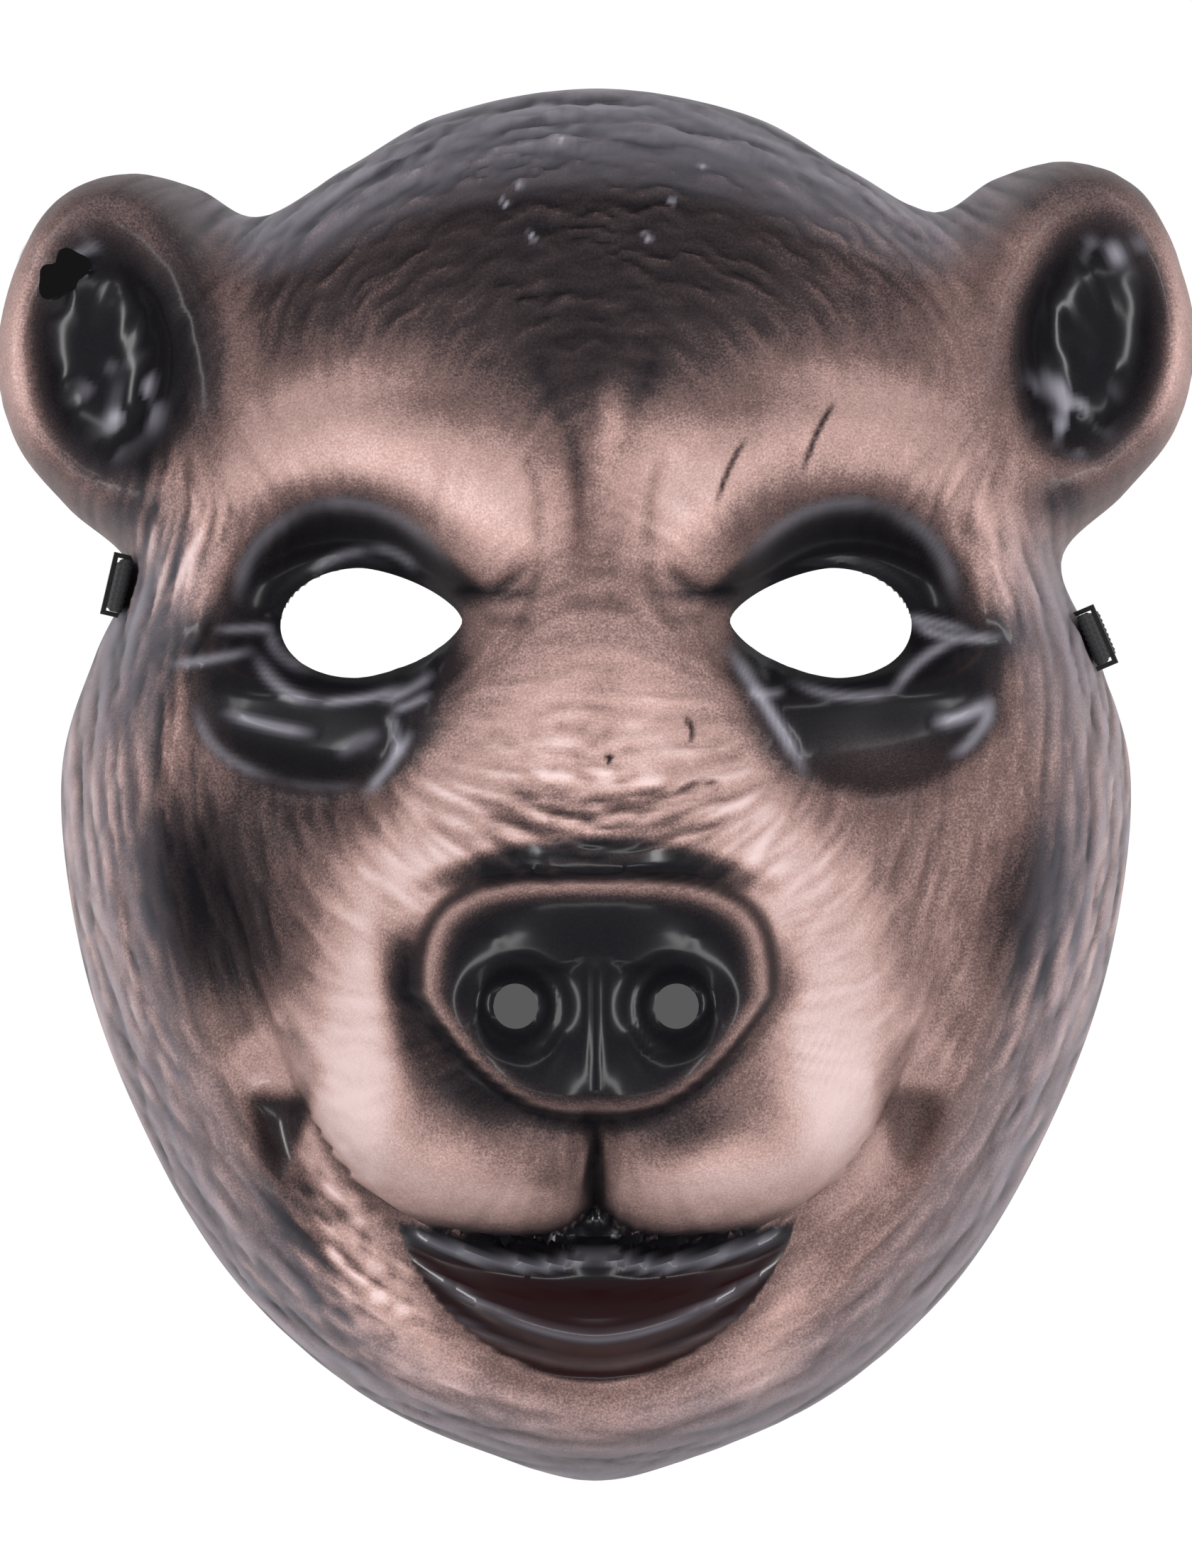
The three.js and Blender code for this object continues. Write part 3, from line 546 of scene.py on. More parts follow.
# Where the strap passes under the rim: the rim's place, the ways along it and out of it.
TEMPLES = (
    ((-80.58, 33.6), (0.226, 0.974), (-0.974, 0.226)),
    ((85.22, 25.0), (-0.395, 0.919), (0.919, 0.395)),
)
ARCH_HEIGHT, ARCH_HALF, ARCH_REACH, ARCH_FADE = 3.2, 7, 14, 4


def arched(x, y, z):
    """Height with the rim lifted in a low arch over the strap, and the wall above left alone."""
    for rim, across, out in TEMPLES:
        along = (x - rim[0]) * across[0] + (y - rim[1]) * across[1]
        off = (x - rim[0]) * out[0] + (y - rim[1]) * out[1]
        gone = (along / ARCH_HALF) ** 8 + (off / ARCH_REACH) ** 8 + np.maximum(z, 0) / ARCH_FADE
        z = z + ARCH_HEIGHT * np.exp(-gone)
    return z


def mesh_piece(name, points, *faces):
    """An object from points in millimetres and arrays of faces with three or four corners."""
    mesh = bpy.data.meshes.new(name)
    mesh.vertices.add(len(points))
    mesh.vertices.foreach_set("co", (points * MM).astype(np.float32).ravel())
    corners = np.concatenate([part.ravel() for part in faces])
    sizes = np.concatenate([np.full(len(part), part.shape[1]) for part in faces])
    mesh.loops.add(len(corners))
    mesh.loops.foreach_set("vertex_index", corners.astype(np.int32))
    mesh.polygons.add(len(sizes))
    mesh.polygons.foreach_set("loop_start", (np.cumsum(sizes) - sizes).astype(np.int32))
    mesh.update(calc_edges=True)
    mesh.validate()
    mesh.shade_smooth()
    piece = bpy.data.objects.new(name, mesh)
    bpy.context.scene.collection.objects.link(piece)
    return piece


sheet_x, sheet_y, sheet_cut = sheet_grid()
rim_share = wall_share(sheet_x, sheet_y)
rim_share[[0, -1]] = 0
rim_share[:, [0, -1]] = 0
wall = np.minimum(1, rim_share)
wall_rise = np.sqrt(1 - (1 - wall) ** 2)
nose_share = plan(sheet_x, sheet_y, **NOSE_PLATE)
nostril_gap = np.hypot(np.abs(sheet_x) - NOSTRIL_X, sheet_y - NOSTRIL_Y)
eye_share = np.minimum(*(hole_share(sheet_x, sheet_y, hole) for hole in HOLES[:2]))
# Rolled rims of the nose, the nostrils and the eyes.
rims = 0.25 * bell(nose_share - NOSE_EDGE, 0.035)
rims += np.exp(-(nostril_gap - 6) ** 2) * (nose_share < 1)
rims += 0.4 * bell(eye_share - 1.12, 0.07)


def on_sheet(power=1.0, **oval):
    """A soft mound at each point of the sheet."""
    return swell(sheet_x, sheet_y, power=power, **oval)


def strokes_on_sheet(y=sheet_y, **strokes):
    """Pressed strokes at each point of the sheet."""
    return sampled(pressed_strokes(**strokes), sheet_x, y)


hair = hairiness(sheet_x, sheet_y)
forehead = on_sheet(power=3, cx=0, cy=96, rx=66, ry=32)
wavy_y = sheet_y + 0.7 * np.sin(sheet_x / 1.7 + 2.2 * np.sin(sheet_y / 4.1))
streaks = strokes_on_sheet(seed=11, count=9000, lengths=(6, 16), blur=0.4, broad=1.8) * hair
ripples = strokes_on_sheet(wavy_y, seed=5, count=5200, lengths=(6, 16), blur=0.45, broad=1.9, pitch=2.0)
ripples = ripples * hair * forehead
crumple = strokes_on_sheet(seed=3, count=5000, lengths=(3, 8), blur=0.9, broad=3.2)
crumple = crumple * on_sheet(power=2, **EAR_BOWL)
dapples = strokes_on_sheet(seed=8, count=9000, lengths=(2, 6), blur=0.6, broad=1.7)
dapples *= on_sheet(power=1.5, **JAW_DAPPLES) + 0.6 * on_sheet(**BRIDGE_DAPPLES)
side_wall = held(1.5 - rim_share) * (1 - 0.9 * on_sheet(power=4, **EAR_PLATE))
combed = strokes_on_sheet(seed=21, count=5200, lengths=(16, 38), blur=0.45, broad=2.0) * side_wall
face_y = sheet_y + ear_drop(sheet_x, sheet_y)
folds = fold_relief(sheet_x, face_y, FOLDS)
eye_ridges = fold_relief(sheet_x, face_y, EYE_RIDGES)
mouth_lines = mouth_relief(sheet_x, sheet_y)
pressed = face_height(sheet_x, sheet_y) + folds + eye_ridges + rims + mouth_lines
base_z = arched(sheet_x, sheet_y, pressed * wall_rise)
fine_relief = STREAK_DEPTH * streaks * (1 - 0.7 * forehead) * (1 - 0.5 * side_wall)
fine_relief = fine_relief + RIPPLE_DEPTH * ripples
fine_relief += CRUMPLE_DEPTH * crumple + STRAND_DEPTH * combed
base = np.stack([sheet_x, sheet_y, base_z], -1)
base_normal = way_out(base)
base_normal /= np.linalg.norm(base_normal, axis=-1, keepdims=True) + 1e-9
outer = base + (fine_relief * held(4 * wall))[..., None] * base_normal
outer_z = outer[..., 2]

# The inner face has every second point of the outer one, set back by the sheet's thickness.
inner = base[::2, ::2]
inner_normal = way_out(inner)
inner_normal[[0, -1], :, 2] = 0
inner_normal[:, [0, -1], 2] = 0
end_rows, next_rows = (0, 0, -1, -1), (1, 1, -2, -2)
end_columns, next_columns = (0, -1, 0, -1), (1, -2, 1, -2)
beside, above = inner_normal[end_rows, next_columns], inner_normal[next_rows, end_columns]
inner_normal[end_rows, end_columns] = beside + above
inner = inner - SHEET * unit(inner_normal)

# Point numbers of both faces, and the faces' cells that aren't cut out.
fine_side = 2 * RINGS + 1
half_side = RINGS + 1
fine = np.arange(fine_side ** 2).reshape(fine_side, fine_side)
half = fine_side ** 2 + np.arange(half_side ** 2).reshape(half_side, half_side)
kept = ~sheet_cut
kept_fine = np.repeat(np.repeat(kept, 2, 0), 2, 1)
face_quads = np.stack([fine[:-1, :-1], fine[:-1, 1:], fine[1:, 1:], fine[1:, :-1]], -1)[kept_fine]
back_quads = np.stack([half[:-1, :-1], half[1:, :-1], half[1:, 1:], half[:-1, 1:]], -1)[kept]


def cut_edges():
    """Triangles of the sheet's cut edges: on each side of a kept cell with no kept neighbour, two
    steps of the outer face are joined to one step of the inner face."""
    lone = np.pad(kept, 1)
    corner = {(dy, dx): (fine[2 * dy:2 * RINGS + 2 * dy:2, 2 * dx:2 * RINGS + 2 * dx:2],
                         half[dy:RINGS + dy, dx:RINGS + dx]) for dy in (0, 1) for dx in (0, 1)}
    triangles = []
    for start, end, (ny, nx) in (
        ((0, 0), (0, 1), (-1, 0)), ((0, 1), (1, 1), (0, 1)),
        ((1, 1), (1, 0), (1, 0)), ((1, 0), (0, 0), (0, -1)),
    ):
        open_side = kept & ~lone[1 + ny:1 + ny + RINGS, 1 + nx:1 + nx + RINGS]
        (first, first_in), (last, last_in) = corner[start], corner[end]
        between = (first + last) // 2
        for trio in ((last, between, last_in), (between, first_in, last_in), (between, first, first_in)):
            triangles.append(np.stack([part[open_side] for part in trio], 1))
    return np.concatenate(triangles)


shell = mesh_piece(
    "bear_mask_shell", np.vstack([outer.reshape(-1, 3), inner.reshape(-1, 3)]),
    face_quads, back_quads, cut_edges())
shell.data.set_sharp_from_angle(angle=np.radians(55))


# The sprayed coat. Satin beige lacquer is sprayed on the black sheet from the front, thick on what
# stands out and thinning to a stipple round the eyes, nose, ears and forehead, which stay black.
# The mouth is brushed dark red; a grey film on the side walls and ridges is painted sheen and
# highlights.
BARE_COAT = 0.46
facing = way_out(outer)
facing = facing[..., 2] / np.linalg.norm(facing, axis=-1)

# Passes of the spray in order: thickness, share that takes, how sharp the edge is, the plan.
SPRAY = [
    # forehead, brows and temples
    (0.1, 0.97, 2, oval(0, 97, 57, 34)),
    (0.28, 0.7, 1.2, oval(50, 85, 15, 18, side=1)),
    (0.14, 0.8, 1.5, oval(52, 89, 16, 20, side=-1)),
    (0.08, 0.9, 1.2, oval(0, 71, 12, 10)),
    (0.82, 0.95, 1.3, oval(40, 53, 29, 9, 4, bend=-5)),
    (0.84, 0.95, 1.4, oval(16, 44, 13, 10, 28)),
    (0.62, 0.65, 1.3, oval(45, 52, 18, 7, side=1)),
    (0.86, 0.7, 1.2, oval(11, 51, 8, 10, side=1)),
    (0.8, 0.75, 1.2, oval(3, 54, 2.8, 10, side=1)),
    (0.85, 0.8, 1.2, oval(66, 46, 7, 20, 10)),
    (0.76, 0.8, 1.2, oval(46, 63, 18, 6, -12)),
    (0.36, 0.85, 1.3, oval(43, 47, 19, 3.4, bend=-6)),
    (0.36, 0.85, 1.3, oval(26.5, 43, 11, 5.5, 40, side=1)),
    (0.42, 0.85, 1.3, oval(70, 58, 6.5, 22, 14, side=-1)),
    (0.22, 0.8, 1.3, oval(77, 22, 8, 17, -8, side=-1)),
    # bridge and upper muzzle
    (0.5, 0.9, 1.4, oval(0, 28, 14, 11)),
    (0.9, 0.92, 1.4, oval(0, 6, 20, 16)),
    (0.62, 0.7, 1.2, oval(0, 14, 6, 14)),
    (0.97, 0.92, 1.5, oval(28, -10, 11, 17, 35)),
    (0.5, 0.8, 1.3, oval(0, -6, 20, 5)),
    # cheeks
    (0.2, 0.85, 1.2, oval(52, -4, 19, 8, side=-1)),
    (0.36, 0.75, 1.2, oval(48, -3, 16, 7, side=1)),
    (0.2, 0.8, 1.1, oval(31, 8, 4.5, 13, 35)),
    (0.22, 0.85, 1.3, oval(36.5, -2, 4.5, 12, 35, side=1)),
    (0.6, 0.75, 1.2, oval(75, -3, 12, 10, side=-1)),
    (0.48, 0.75, 1.2, oval(65, -5, 13, 7, side=1)),
    (1, 0.95, 1.7, oval(39, -42, 11.5, 26, 5)),
    (0.34, 0.8, 1.2, oval(57, -23, 11, 20, -18, side=-1)),
    (0.1, 0.92, 1.3, oval(65, -19, 13, 18, -22, side=-1)),
    (0.75, 0.8, 1.3, oval(85, -18, 7.5, 46, -8)),
    (0.02, 0.85, 1.2, oval(66, -19, 8, 14, -25, side=-1)),
    (0.6, 0.85, 1.3, oval(62, -24, 13, 22, -20, side=1)),
    (0.06, 0.85, 1.3, oval(73, -19, 8, 16, -15, side=1)),
    (0.82, 0.6, 1.5, oval(38, -18, 9, 26, 8, side=1)),
    (0.8, 0.85, 1.5, oval(50, -42, 5.5, 8, -8)),
    # lobes, jaw and chin
    (0.9, 0.94, 1.6, oval(21, -64, 20, 10)),
    (1, 0.85, 1.2, oval(41, -56, 8, 13)),
    (0.34, 0.8, 1, oval(0, -61, 2.2, 11)),
    (0.5, 0.6, 1.2, oval(68, -66, 12, 20, -30)),
    (0.62, 0.5, 1.2, oval(63, -46, 7, 10, side=-1)),
    (0.2, 0.8, 1.2, oval(50, -73, 5, 13, -15, side=-1)),
    (0.72, 0.9, 1.2, oval(38.5, -80, 5, 16, -20, side=-1)),
    (0.82, 0.8, 1.3, oval(33, -86, 5, 10, -38)),
    (0.5, 0.8, 1.3, oval(46, -78, 12, 18, -30, side=1)),
    (0.6, 0.9, 1.3, oval(0, -105, 24, 6.5, bend=4)),
    (0.78, 0.75, 1.3, oval(27, -97, 7, 6)),
    (0.4, 0.7, 1.2, oval(0, -116, 26, 4.5, bend=4)),
    # ears
    (0.6, 0.9, 3.0, EAR_PLATE),
    (0.22, 0.8, 1.2, oval(77, 99, 16, 9)),
    (0.8, 0.9, 1.4, oval(98.5, 72, 5, 27)),
    (0.42, 0.85, 1.2, oval(87, 52, 11, 4, 35)),
    (0.16, 0.85, 1.3, oval(77, 48, 6, 4)),
    (0.05, 0.95, 1.4, oval(67.5, 77, 6, 19, -8, side=-1)),
    (0.34, 0.75, 1.2, oval(67, 74, 7, 22, side=1)),
    (0, 1, 6, oval(81, 73.5, 13.8, 22.4, -10, side=-1)),
    (0, 1, 6, oval(82.5, 74, 13.2, 21.4, -10, side=1)),
    # eyes
    (0, 1, 6, oval(42, 30.8, 20.4, 15.8, 4, bend=-3)),
    (0.05, 0.9, 2, oval(24, 33.4, 7, 2.6, 38)),
    (0.2, 0.85, 1.5, oval(16, 30.4, 5.5, 1.1, -4)),
    (0, 1, 5, oval(44, 19.5, 22.5, 10)),
    (0.03, 0.95, 1.2, oval(63, 24, 9, 5)),
    (0, 1, 4.5, oval(46, 10.5, 20.5, 12, 4, bend=2)),
    (0.3, 0.7, 1.2, oval(48, 3, 12, 4.5, side=1)),
    # round the nose and the corners of the mouth
    (0, 1, 3.5, oval(0, -12.4, 25.5, 4, bend=-3)),
    (0.1, 0.9, 1.2, oval(30, -35, 3, 12, -14, side=-1)),
    (0.03, 0.94, 1.3, oval(18, -48.8, 13, 4.6, 36, side=-1)),
    (0.15, 0.85, 1.3, oval(10, -55.4, 8.5, 3.2, 8, side=-1)),
    (0.2, 0.8, 1.2, oval(0, -53, 9, 3.6)),
    (0.5, 0.7, 1.2, oval(0, -58, 13, 5)),
    (0.55, 0.75, 1.2, oval(13, -58, 11, 5, side=-1)),
    (0.35, 0.6, 1.2, oval(6, -60, 4, 6, side=-1)),
    (0.18, 0.9, 2, oval(0, -61, 1.8, 12)),
    (0.16, 0.85, 1.3, oval(14, -53.5, 8, 4, 18, side=1)),
    (0.22, 0.8, 1.5, oval(50, -71, 4.5, 7, 8, side=-1)),
    (0.12, 1, 3, oval(52, -53.4, 5.2, 13, 8, corner=2.3, taper=0.6, side=-1)),
    (0.7, 1, 4, oval(53, -46.2, 9, 5.8, bend=-1, side=-1)),
    (0.3, 0.85, 2, oval(51.5, -54, 5.5, 9, corner=2.4, taper=0.5, side=1)),
    (0.66, 0.9, 3, oval(53, -45.4, 8, 5.8, bend=-1, side=1)),
]
# Where the streaks show in the coat: how much, how sharp the edge is, the plan.
STREAKED = [
    (0.12, 2, oval(86, -25, 14, 50, -12)),
    (0.1, 1.5, oval(56, -84, 22, 26, -30, side=-1)),
    (0.16, 1.5, oval(0, -4, 24, 7)),
    (0.05, 1.5, oval(0, -33, 42, 30)),
    (0.06, 1.5, oval(66, 45, 12, 30)),
    (0.16, 1.5, oval(74, 42, 10, 40, side=-1)),
]
# Cracks in the coat of the brow and the bridge, as for the folds.
SCRATCHES = [
    (24.4, 55.9, 21, 51.5, 19.2, 44.2, 0.4, -0.6, 1),
    (39.2, 62.5, 35.4, 57.6, 33.4, 50.2, 0.4, -0.6, 1),
    (14, 11.2, 16.2, 8.8, 14.8, 6.2, 0.4, -0.55, 1),
    (12.4, -1.6, 17, 1.8, 20.2, -0.8, 0.4, -0.5, 1),
    (1.5, 3.9, 2.1, 4.1, 2.7, 3.9, 0.6, -0.9, 1),
]
# Pale scuffs on the forehead, drawn in the same way.
SCUFFS = [
    (-15.9, 96.8, -15.1, 96.3, -14.3, 95.6, 0.35, 0.5, 1),
    (-11.4, 91.4, -10.5, 90.6, -10, 89.2, 0.35, 0.6, 1),
    (7.6, 91.2, 8.6, 90.3, 9.2, 89, 0.35, 0.5, 1),
    (12, 97.2, 12.6, 96.2, 13.4, 95.6, 0.35, 0.45, 1),
    (17, 103.6, 17.9, 102.9, 18.4, 102, 0.35, 0.45, 1),
    (-13.6, 100, -12.8, 99.4, -12.2, 98.6, 0.35, 0.45, 1),
    (-7.2, 108.2, -6.2, 107.8, -5.2, 107, 0.35, 0.45, 1),
]
coat = np.full_like(sheet_x, BARE_COAT)
for thickness, takes, power, form in SPRAY:
    share = takes * swell(sheet_x, face_y, power=power, **form)
    coat = coat * (1 - share) + thickness * share
# Dark smoke round the lower half of the nose, and streaks of fur in the coat.
left_smoke = held((-20 - sheet_y) / 8)
right_smoke = 0.45 * held((-24 - sheet_y) / 6) + 0.5 * held((-40 - sheet_y) / 6)
smoke = bell(nose_share - 1.08, 0.09) * np.where(sheet_x < 0, left_smoke, right_smoke)
coat *= 1 - 0.92 * smoke
contrast = np.full_like(sheet_x, 0.035)
for more, power, form in STREAKED:
    contrast += more * on_sheet(power=power, **form)
coat += contrast * streaks * (1 - 0.6 * forehead) + 0.05 * ripples + 0.13 * dapples + 0.1 * combed
# Painted shade: the coat is darkened along the furrows of the folds.
coat += 0.22 * np.minimum(folds, 0)
coat *= 0.8 + 0.2 * held(facing / 0.5)
coat = held(coat) + fold_relief(sheet_x, sheet_y, SCRATCHES)
# The nose is bare but for its dabbed rim.
on_nose = held((1.06 - nose_share) / 0.07)
rim_fade = np.where(nose_share < NOSE_EDGE, 0.085, 0.042)
rim_coat = 0.42 + 0.24 * held((sheet_y + 52) / 20)
coat = coat * (1 - on_nose) + on_nose * rim_coat * bell(nose_share - NOSE_EDGE, rim_fade)
# Painted shade: the lobes darken towards their lower edge, and so do the pockets under them.
over_edge = over_lip(sheet_x, sheet_y)
lobe_front = bell(sheet_x, 30, 8) * (over_edge > 0)
coat *= 1 - lobe_front * (0.2 * bell(over_edge, 7) + 0.72 * bell(over_edge, 2.2))
shade_under_lobes = bell(over_edge, 4) * (over_edge <= 0) * bell(np.abs(sheet_x) - 39, 9.5, 4)
coat *= 1 - shade_under_lobes * np.where(sheet_x < 0, 0.6, 0.28)
# The mouth between its lower line and the lobes, red below the upper lip.
mouth_line = -99 + 0.0195 * sheet_x ** 2 + 8 * (np.abs(sheet_x) / 34) ** 8
in_mouth = held((sheet_y - mouth_line) / 0.8) * held(-over_edge / 0.6)
mouth_top = -71.6 + 2.6 * bell(sheet_x, 4)
in_mouth *= held((35.5 - np.abs(sheet_x)) / 2) * held((mouth_top - sheet_y) / 1.2)
lip_line = -80.5 + 0.006 * sheet_x ** 2
red = in_mouth * held((lip_line - sheet_y) / 1.2)
coat = coat * (1 - in_mouth)
coat *= held((outer_z - 1.2) / 1.5)
# Bare glossy plastic: how glossy, how sharp the edge is, the plan.
GLOSSY = [
    (0.22, 3, oval(42, 30.5, 20.5, 14.8, 4, bend=-3)),
    (0.5, 3, oval(44, 19.5, 22, 9.5)),
    (1, 2, oval(63, 23, 10, 6)),
    (0.28, 3, oval(46, 10.5, 21, 12, 4, bend=2)),
    (0.45, 4, oval(81.5, 73.5, 14.2, 23, -10)),
    (0.25, 2, oval(70, 73, 7, 20, -8, side=-1)),
    (0.6, 3, oval(0, -12.4, 25, 4, bend=-3)),
    (0.3, 4, NOSE_PLATE),
    (0.8, 3, oval(52, -53.4, 5.2, 13, 8, corner=2.6, taper=0.6, side=-1)),
]
gloss = in_mouth
for amount, power, form in GLOSSY:
    gloss = np.maximum(gloss, amount * swell(sheet_x, face_y, power=power, **form))

# The grey film: a painted sheen on the side walls, painted highlights on the eye ridges, the lips' lines
# and the ear bowls, and pale scuffs.
highlight_and_scuff_film = 1.05 * held(eye_ridges) ** 1.2
highlight_and_scuff_film += 0.4 * in_mouth * held(mouth_lines) ** 2.5 + 1.6 * fold_relief(sheet_x, sheet_y, SCUFFS)
in_bowl = on_sheet(power=2, **EAR_BOWL_FOOT) + on_sheet(power=2, **EAR_BOWL_TOP)
highlight_and_scuff_film += 0.55 * np.clip(crumple, 0, 2) * in_bowl
# Painted sheen on the side walls, added to the painted highlights and the scuffs.
sheen_highlight_scuff_film = np.clip(side_wall * (0.45 + 0.15 * combed) + highlight_and_scuff_film, 0, 0.9)
# What the finish reads from the mesh: the outer face's values, and one value for the inside.
for name, values, inside in (
    ("coat", held(coat), 0.0),
    ("mouth_red", red, 0.0),
    ("gloss", gloss, 0.6),
    ("sheen_highlight_scuff_film", sheen_highlight_scuff_film, 0.0),
):
    layer = shell.data.attributes.new(name, "FLOAT", "POINT")
    whole = np.append(values.ravel(), np.full(half_side ** 2, inside))
    layer.data.foreach_set("value", whole.astype(np.float32))


class Tone:
    """A value in a material's nodes. Arithmetic on it adds Math nodes."""

    def __init__(self, tree, socket=None):
        self.tree, self.socket = tree, socket

    def add(self, kind, settings=None, sockets=None, out=0):
        """A new node of that type with its settings made first, then its sockets set or linked."""
        node = self.tree.nodes.new(kind)
        for key, value in (settings or {}).items():
            setattr(node, key, value)
        for key, value in (sockets or {}).items():
            if isinstance(value, Tone):
                self.tree.links.new(value.socket, node.inputs[key])
            else:
                node.inputs[key].default_value = value
        return Tone(self.tree, node.outputs[out] if len(node.outputs) else None)

    def math(self, operation, first, second):
        return self.add("ShaderNodeMath", {"operation": operation}, {0: first, 1: second})

    def __add__(self, other):
        return self.math("ADD", self, other)

    def __sub__(self, other):
        return self.math("SUBTRACT", self, other)

    def __rsub__(self, other):
        return self.math("SUBTRACT", other, self)

    def __mul__(self, other):
        return self.math("MULTIPLY", self, other)

    __radd__, __rmul__ = __add__, __mul__

    def held(self, low=0.0, high=1.0):
        return self.add("ShaderNodeClamp", {}, {"Value": self, "Min": low, "Max": high})

    def mixed(self, first, second):
        """The first colour where this value is 0, the second where it is 1."""
        return self.add("ShaderNodeMix", {"data_type": "RGBA"}, {
            "Factor": self, "A": first, "B": second}, out="Result")

    def toned(self, *stops):
        """The colour of a ramp at this value; each stop has a place and a display colour."""
        ramp = self.add("ShaderNodeValToRGB", {}, {"Fac": self})
        marks = ramp.socket.node.color_ramp.elements
        while len(marks) < len(stops):
            marks.new(0.5)
        for mark, (place, shade) in zip(marks, stops):
            mark.position, mark.color = place, colour(*shade)
        return ramp

    def shaded(self, kind, sockets):
        """A shader of that type on the material's surface."""
        self.add("ShaderNodeOutputMaterial", {}, {"Surface": self.add(kind, {}, sockets)})

    def noise(self, scale, detail, roughness=0.5):
        """Noise at this place, with scale cells to the metre."""
        return self.add("ShaderNodeTexNoise", {}, {
            "Vector": self, "Scale": scale, "Detail": detail, "Roughness": roughness})


def finish_of(name):
    """A new material, the Tone that its nodes start from, and the place on the piece."""
    material = bpy.data.materials.new(name)
    material.use_nodes = True
    material.node_tree.nodes.clear()
    tone = Tone(material.node_tree)
    return material, tone, tone.add("ShaderNodeTexCoord", out="Object")


def colour(red, green, blue):
    """Linear colour of a display colour given from 0 to 255."""
    display = np.array([red, green, blue]) / 255
    linear = np.where(display <= 0.04045, display / 12.92, ((display + 0.055) / 1.055) ** 2.4)
    return (*linear.tolist(), 1.0)


shell_finish, tone, where = finish_of("black_plastic_with_beige_spray")
film, mouth, shine, sheen_highlight_scuff_share = (
    tone.add("ShaderNodeAttribute", {"attribute_name": name}, out="Fac")
    for name in ("coat", "mouth_red", "gloss", "sheen_highlight_scuff_film"))
stipple = where.noise(scale=2600.0, detail=2.0, roughness=0.7)
mottle = where.noise(scale=170.0, detail=4.0, roughness=0.6)
ragged = film * (1 - film) * 4
spray = (film + (stipple - 0.5) * (0.12 + ragged * 0.55) + (mottle - 0.5) * 0.22 * ragged).held()
lacquer = spray.toned(
    (0.0, (18, 17, 21)), (0.22, (56, 47, 48)), (0.5, (118, 95, 91)), (0.78, (188, 155, 148)),
    (1.0, (230, 204, 201)))
painted = mouth.mixed(lacquer, colour(28, 5, 8))
# The grey film over the paint: painted sheen on the side walls, painted highlights on ridges, lips and
# ear bowls, and pale scuffs.
with_sheen_highlights_scuffs = sheen_highlight_scuff_share.mixed(painted, colour(152, 149, 159))
grain = tone.add("ShaderNodeBump", {}, {
    "Strength": 0.25, "Distance": 0.00006, "Height": stipple * spray})
tone.shaded("ShaderNodeBsdfPrincipled", {
    "Base Color": with_sheen_highlights_scuffs, "Roughness": 0.5 - 0.2 * shine, "Normal": grain, "IOR": 1.16,
    "Coat Weight": shine * (1 - spray * 0.7), "Coat Roughness": 0.2, "Coat IOR": 1.45})
shell.data.materials.append(shell_finish)
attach(shell, "root")
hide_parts("mask_shell")


# The strap. One flat black elastic, 8 mm wide, woven with ribs along its length. Each end turns up
# under the rim and lies on the outside of the temple, a little wider and thicker where it is
# stapled; between its ends the strap lies slack on the table.
STRAP_WIDTH, STRAP_THICK, STRAP_FLOOR = 8.0, 1.2, 0.5
STRAP_RIBS = 9
STRAP_END, END_WIDER, END_THICKER = 13.0, 0.14, 0.35
# The left end's way up from the table: out of the rim, height. The right end lies further in.
STRAP_UP = ((-0.97, 21), (0.5, 15), (1.4, 9), (2.3, 5), (2.1, 2.6), (0, 1.2), (-4.5, 1.1))
STRAP_SIDE_IN = (0.0, 1.0)
# The way across the table: x, y, and the lean that stands the strap on its edge, in degrees.
STRAP_WAY = np.array([
    (-69, 29, 0), (-62, 23, 30), (-57, 13, 60), (-52, 1, 78), (-45, -12, 85), (-33, -22, 85),
    (-17, -28, 85), (1, -29, 85), (19, -28, 85), (35, -23, 85), (47, -14, 85), (54, -3, 78),
    (60, 8, 60), (66, 16, 30), (73.5, 20.5, 0),
], float)


def strap_knots():
    """The strap's middle points from its left end to its right end, and the way across it."""
    ends = []
    for (rim, across, out), inwards in zip(TEMPLES, STRAP_SIDE_IN):
        rows = np.array(STRAP_UP, float)
        rows[:3, 0] -= inwards
        places = np.column_stack([np.array(rim) + rows[:, :1] * np.array(out), rows[:, 1]])
        ends.append((places, np.tile((*across, 0.0), (len(rows), 1))))
    lean = np.radians(STRAP_WAY[:, 2])
    way = np.vstack([STRAP_WAY[:1, :2], STRAP_WAY[:, :2], STRAP_WAY[-1:, :2]])
    along = unit(way[2:] - way[:-2])
    level = np.stack([-along[:, 1], along[:, 0]], 1) * np.cos(lean)[:, None]
    height = STRAP_FLOOR + (STRAP_WIDTH * np.sin(lean) + STRAP_THICK * np.cos(lean)) / 2
    floor = np.column_stack([STRAP_WAY[:, :2], height]), np.column_stack([level, np.sin(lean)])
    (left, left_across), (right, right_across) = ends
    places = np.vstack([left, floor[0], right[::-1]])
    return places, np.vstack([left_across, floor[1], right_across[::-1]])


def smooth_through(knots, spacing, count):
    """Points of a centripetal cubic curve through knots, at even shares of each span."""
    ends = np.vstack([2 * knots[0] - knots[1], knots, 2 * knots[-1] - knots[-2]])
    gaps = np.concatenate([spacing[:1], spacing, spacing[-1:]])[:, None]
    t = np.linspace(0, len(knots) - 1, count)
    k = np.minimum(t.astype(int), len(knots) - 2)
    f = (t - k)[:, None]
    p = [ends[k + step] for step in range(4)]
    d = [gaps[k + step] for step in range(3)]
    return cubic_piece(f, *p, *d)


